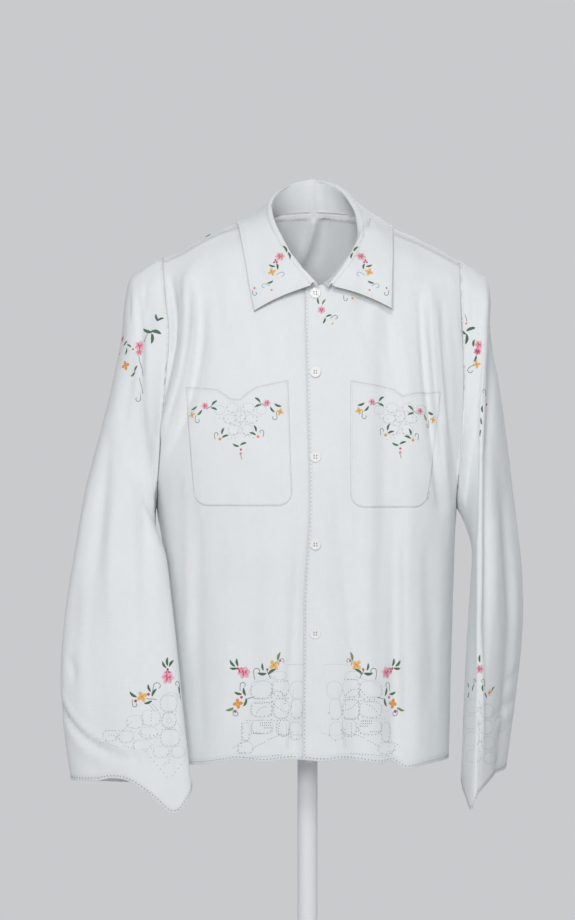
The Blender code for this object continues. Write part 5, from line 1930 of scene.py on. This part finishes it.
class SHIRT_OT_back(bpy.types.Operator):
    """Makes the back's cloth, which wraps over the shoulders"""

    bl_idname = "shirt.back"
    bl_label = "Back"

    def execute(self, context):
        make_shell("back", back_grid(), ("last_row", "first_column", "last_column"), flip=True)
        return {"FINISHED"}


class SHIRT_OT_sleeves(bpy.types.Operator):
    """Makes both sleeves' cloth"""

    bl_idname = "shirt.sleeves"
    bl_label = "Sleeves"

    def execute(self, context):
        left = sleeve_grid(LEFT_SLEEVE, -1, LEFT_SLEEVE_POWER, LEFT_SLEEVE_FOLDS, LEFT_CUFF_FRONT)
        right = sleeve_grid(RIGHT_SLEEVE, 1, RIGHT_SLEEVE_POWER, RIGHT_SLEEVE_FOLDS, RIGHT_CUFF_FRONT)
        make_shell("sleeve_wearer_right", left, ("first_row",), closed=True, flip=True, tuck=0)
        make_shell("sleeve_wearer_left", right, ("first_row",), closed=True, tuck=0)
        return {"FINISHED"}


class SHIRT_OT_collar(bpy.types.Operator):
    """Makes the collar's cloth"""

    bl_idname = "shirt.collar"
    bl_label = "Collar"

    def execute(self, context):
        make_shell("collar", footed(collar_grid()), ("first_column",), wall=COLLAR_WALL, flip=True)
        return {"FINISHED"}


def footed(grid):
    """Adds points under the collar's foot. Round the back they lean on the cloth of the neck."""
    away = grid[:, 0] - grid[:, 1]
    away = away / np.linalg.norm(away, axis=-1, keepdims=True)
    line = []
    for foot, way in zip(grid[:, 0], away):
        if foot[1] < NECK_SIDE:
            line.append(foot + way * 0.3)
            continue
        point = Vector(foot + way * FOOT_HEM)
        found = [shells[name].tree.find_nearest(point) for name in NECK_PIECES]
        place, normal, _, _ = min(found, key=lambda hit: hit[3])
        line.append(np.array(place - normal * FOOT_CLEAR))
    return np.concatenate([np.array(line)[:, None], grid], axis=1)


def pocket_points(panel, cut):
    """A pocket's points on its panel's creased cloth, with rounded lower corners."""
    heights = [row[1] for row in cut.top]
    shares = [row[0] for row in cut.top]
    count = POCKET_STEPS * FINE_ROWS
    grid = np.zeros((count + 1, count + 1, 3))
    for r in range(count + 1):
        for c in range(count + 1):
            across, up = c / count, r / count
            left = cut.left_low + (cut.left_top - cut.left_low) * up
            right = cut.right_low + (cut.right_top - cut.right_low) * up
            side = min(across, 1 - across) * (right - left)
            bite = max(0.0, 1 - side / cut.corner)
            lift = cut.corner * (1 - math.sqrt(1 - bite * bite))
            top = float(np.interp(across, shares, heights))
            z = cut.bottom + lift * (1 - up) ** CORNER_EASE + (top - cut.bottom) * up
            start = Vector((left + (right - left) * across, BEFORE_SHIRT, z))
            place, normal, _, _ = shells[panel].tree.ray_cast(start, Vector((0, 1, 0)))
            grid[r, c] = place + normal * POCKET_OFF
    return grid


class SHIRT_OT_pockets(bpy.types.Operator):
    """Makes both breast pockets' cloth"""

    bl_idname = "shirt.pockets"
    bl_label = "Pockets"

    def execute(self, context):
        left = pocket_points("front_wearer_right", LEFT_POCKET)
        right = pocket_points("front_wearer_left", RIGHT_POCKET)
        make_shell("pocket_wearer_right", left, fine=False)
        make_shell("pocket_wearer_left", right, fine=False)
        return {"FINISHED"}


class SHIRT_OT_embroidery(bpy.types.Operator):
    """Sews the coloured flowers and leaves"""

    bl_idname = "shirt.embroidery"
    bl_label = "Embroidery"

    def execute(self, context):
        sew_sprays()
        return {"FINISHED"}


class SHIRT_OT_cutwork(bpy.types.Operator):
    """Sews the white corded cutwork"""

    bl_idname = "shirt.cutwork"
    bl_label = "Cutwork"

    def execute(self, context):
        sew_cutwork()
        return {"FINISHED"}


class SHIRT_OT_sewing(bpy.types.Operator):
    """Sews hems, cuffs, collar and pocket edges"""

    bl_idname = "shirt.sewing"
    bl_label = "Sewing"

    def execute(self, context):
        sew_edges()
        return {"FINISHED"}


class SHIRT_OT_buttons(bpy.types.Operator):
    """Finishes the buttons and sews them on"""

    bl_idname = "shirt.buttons"
    bl_label = "Buttons"

    def execute(self, context):
        dress_buttons()
        return {"FINISHED"}


class SHIRT_OT_stand(bpy.types.Operator):
    """Paints the stand"""

    bl_idname = "shirt.stand"
    bl_label = "Stand"

    def execute(self, context):
        for name in ("stand_base", "stand_pole", "stand_arms"):
            set_material(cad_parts[name], stand_material())
        return {"FINISHED"}


class SHIRT_OT_stage(bpy.types.Operator):
    """Sets up the floor, the lights and the camera"""

    bl_idname = "shirt.stage"
    bl_label = "Stage"

    def execute(self, context):
        add_floor(context.scene.shirt_looks.floor_size)
        add_lights()
        add_camera(context.scene.shirt_looks)
        return {"FINISHED"}


def add_floor(size):
    bpy.ops.object.select_all(action="DESELECT")
    bpy.ops.mesh.primitive_plane_add(size=size, location=(0, 0, 0))
    floor = bpy.context.active_object
    floor.name = "floor"
    made, tree, shader = new_material("Pale studio floor")
    place = add_node(tree, "TexCoord", {})["Object"]
    speck = add_node(tree, "TexNoise", {"Scale": 3.0, "Vector": place})["Fac"]
    pale = mix_colours(tree, speck, (0.60, 0.61, 0.63, 1), (0.66, 0.67, 0.69, 1))
    set_inputs(tree, shader, {"Base Color": pale, "Roughness": 0.8})
    floor.data.materials.append(made)


# Studio lights: place, where each one looks, its side length in metres and its power in watts
Light = namedtuple("Light", "name place aim size power")
LIGHTS = listed(
    Light,
    ("key", (-0.75, -3.9, 2.0), (0.0, 0.0, 1.1), 0.9, 44.0),
    ("fill", (2.6, -3.0, 1.4), (0.0, 0.0, 1.0), 2.2, 9.0),
    ("high", (0.05, -2.6, 2.7), (0.0, 0.05, 1.38), 0.7, 23.0),
    ("rim", (0.9, 3.0, 2.7), (0.0, 0.0, 1.1), 1.6, 62.0),
)
AMBIENT = 0.68
BACKDROP = (0.585, 0.59, 0.605, 1.0)


def add_lights():
    for light in LIGHTS:
        data = bpy.data.lights.new(light.name, "AREA")
        data.size = light.size
        data.energy = light.power
        obj = linked(light.name, data)
        obj.location = light.place
        way = Vector(light.aim) - Vector(light.place)
        obj.rotation_euler = way.to_track_quat("-Z", "Y").to_euler()
    world = bpy.data.worlds.new("Studio")
    bpy.context.scene.world = world
    world.use_nodes = True
    tree = world.node_tree
    room = tree.nodes["Background"]
    set_inputs(tree, room, {"Color": BACKDROP, "Strength": AMBIENT})
    shown = add_node(tree, "Background", {"Color": BACKDROP})["Background"]
    seen = add_node(tree, "LightPath", {})["Is Camera Ray"]
    chosen = {"Fac": seen, 1: room.outputs["Background"], 2: shown}
    both = add_node(tree, "MixShader", chosen)["Shader"]
    set_inputs(tree, tree.nodes["World Output"], {"Surface": both})
    bpy.context.scene.view_settings.view_transform = "Standard"


def add_camera(looks):
    data = bpy.data.cameras.new("camera")
    data.sensor_fit = "VERTICAL"
    data.sensor_height = 24.0
    data.lens = data.sensor_height * looks.camera_distance / looks.view_height
    camera = linked("camera", data)
    camera.location = (EYE.x * MM, -looks.camera_distance, EYE.z * MM)
    camera.rotation_euler = (math.pi / 2, 0, 0)
    bpy.context.scene.camera = camera


class SHIRT_PT_looks(bpy.types.Panel):
    """Lists the shirt's pieces and their settings"""

    bl_idname = "SHIRT_PT_looks"
    bl_label = "Embroidered shirt"
    bl_space_type = "VIEW_3D"
    bl_region_type = "UI"
    bl_category = "Shirt"

    def draw(self, context):
        for name in ShirtLooks.__annotations__:
            self.layout.prop(context.scene.shirt_looks, name)
        for operator in OPERATORS:
            self.layout.operator(operator.bl_idname)


OPERATORS = (
    SHIRT_OT_fronts, SHIRT_OT_back, SHIRT_OT_sleeves, SHIRT_OT_collar, SHIRT_OT_pockets,
    SHIRT_OT_embroidery, SHIRT_OT_cutwork, SHIRT_OT_sewing, SHIRT_OT_buttons, SHIRT_OT_stand,
    SHIRT_OT_stage,
)


def register():
    for cls in (ShirtLooks, *OPERATORS, SHIRT_PT_looks):
        bpy.utils.register_class(cls)
    bpy.types.Scene.shirt_looks = bpy.props.PointerProperty(type=ShirtLooks)


def unregister():
    del bpy.types.Scene.shirt_looks
    for cls in (SHIRT_PT_looks, *reversed(OPERATORS), ShirtLooks):
        bpy.utils.unregister_class(cls)


def main():
    register()
    bpy.ops.shirt.fronts()
    bpy.ops.shirt.back()
    bpy.ops.shirt.sleeves()
    bpy.ops.shirt.collar()
    bpy.ops.shirt.pockets()
    bpy.ops.shirt.embroidery()
    bpy.ops.shirt.cutwork()
    bpy.ops.shirt.sewing()
    bpy.ops.shirt.buttons()
    bpy.ops.shirt.stand()
    bpy.ops.shirt.stage()


if __name__ == "__main__":
    main()
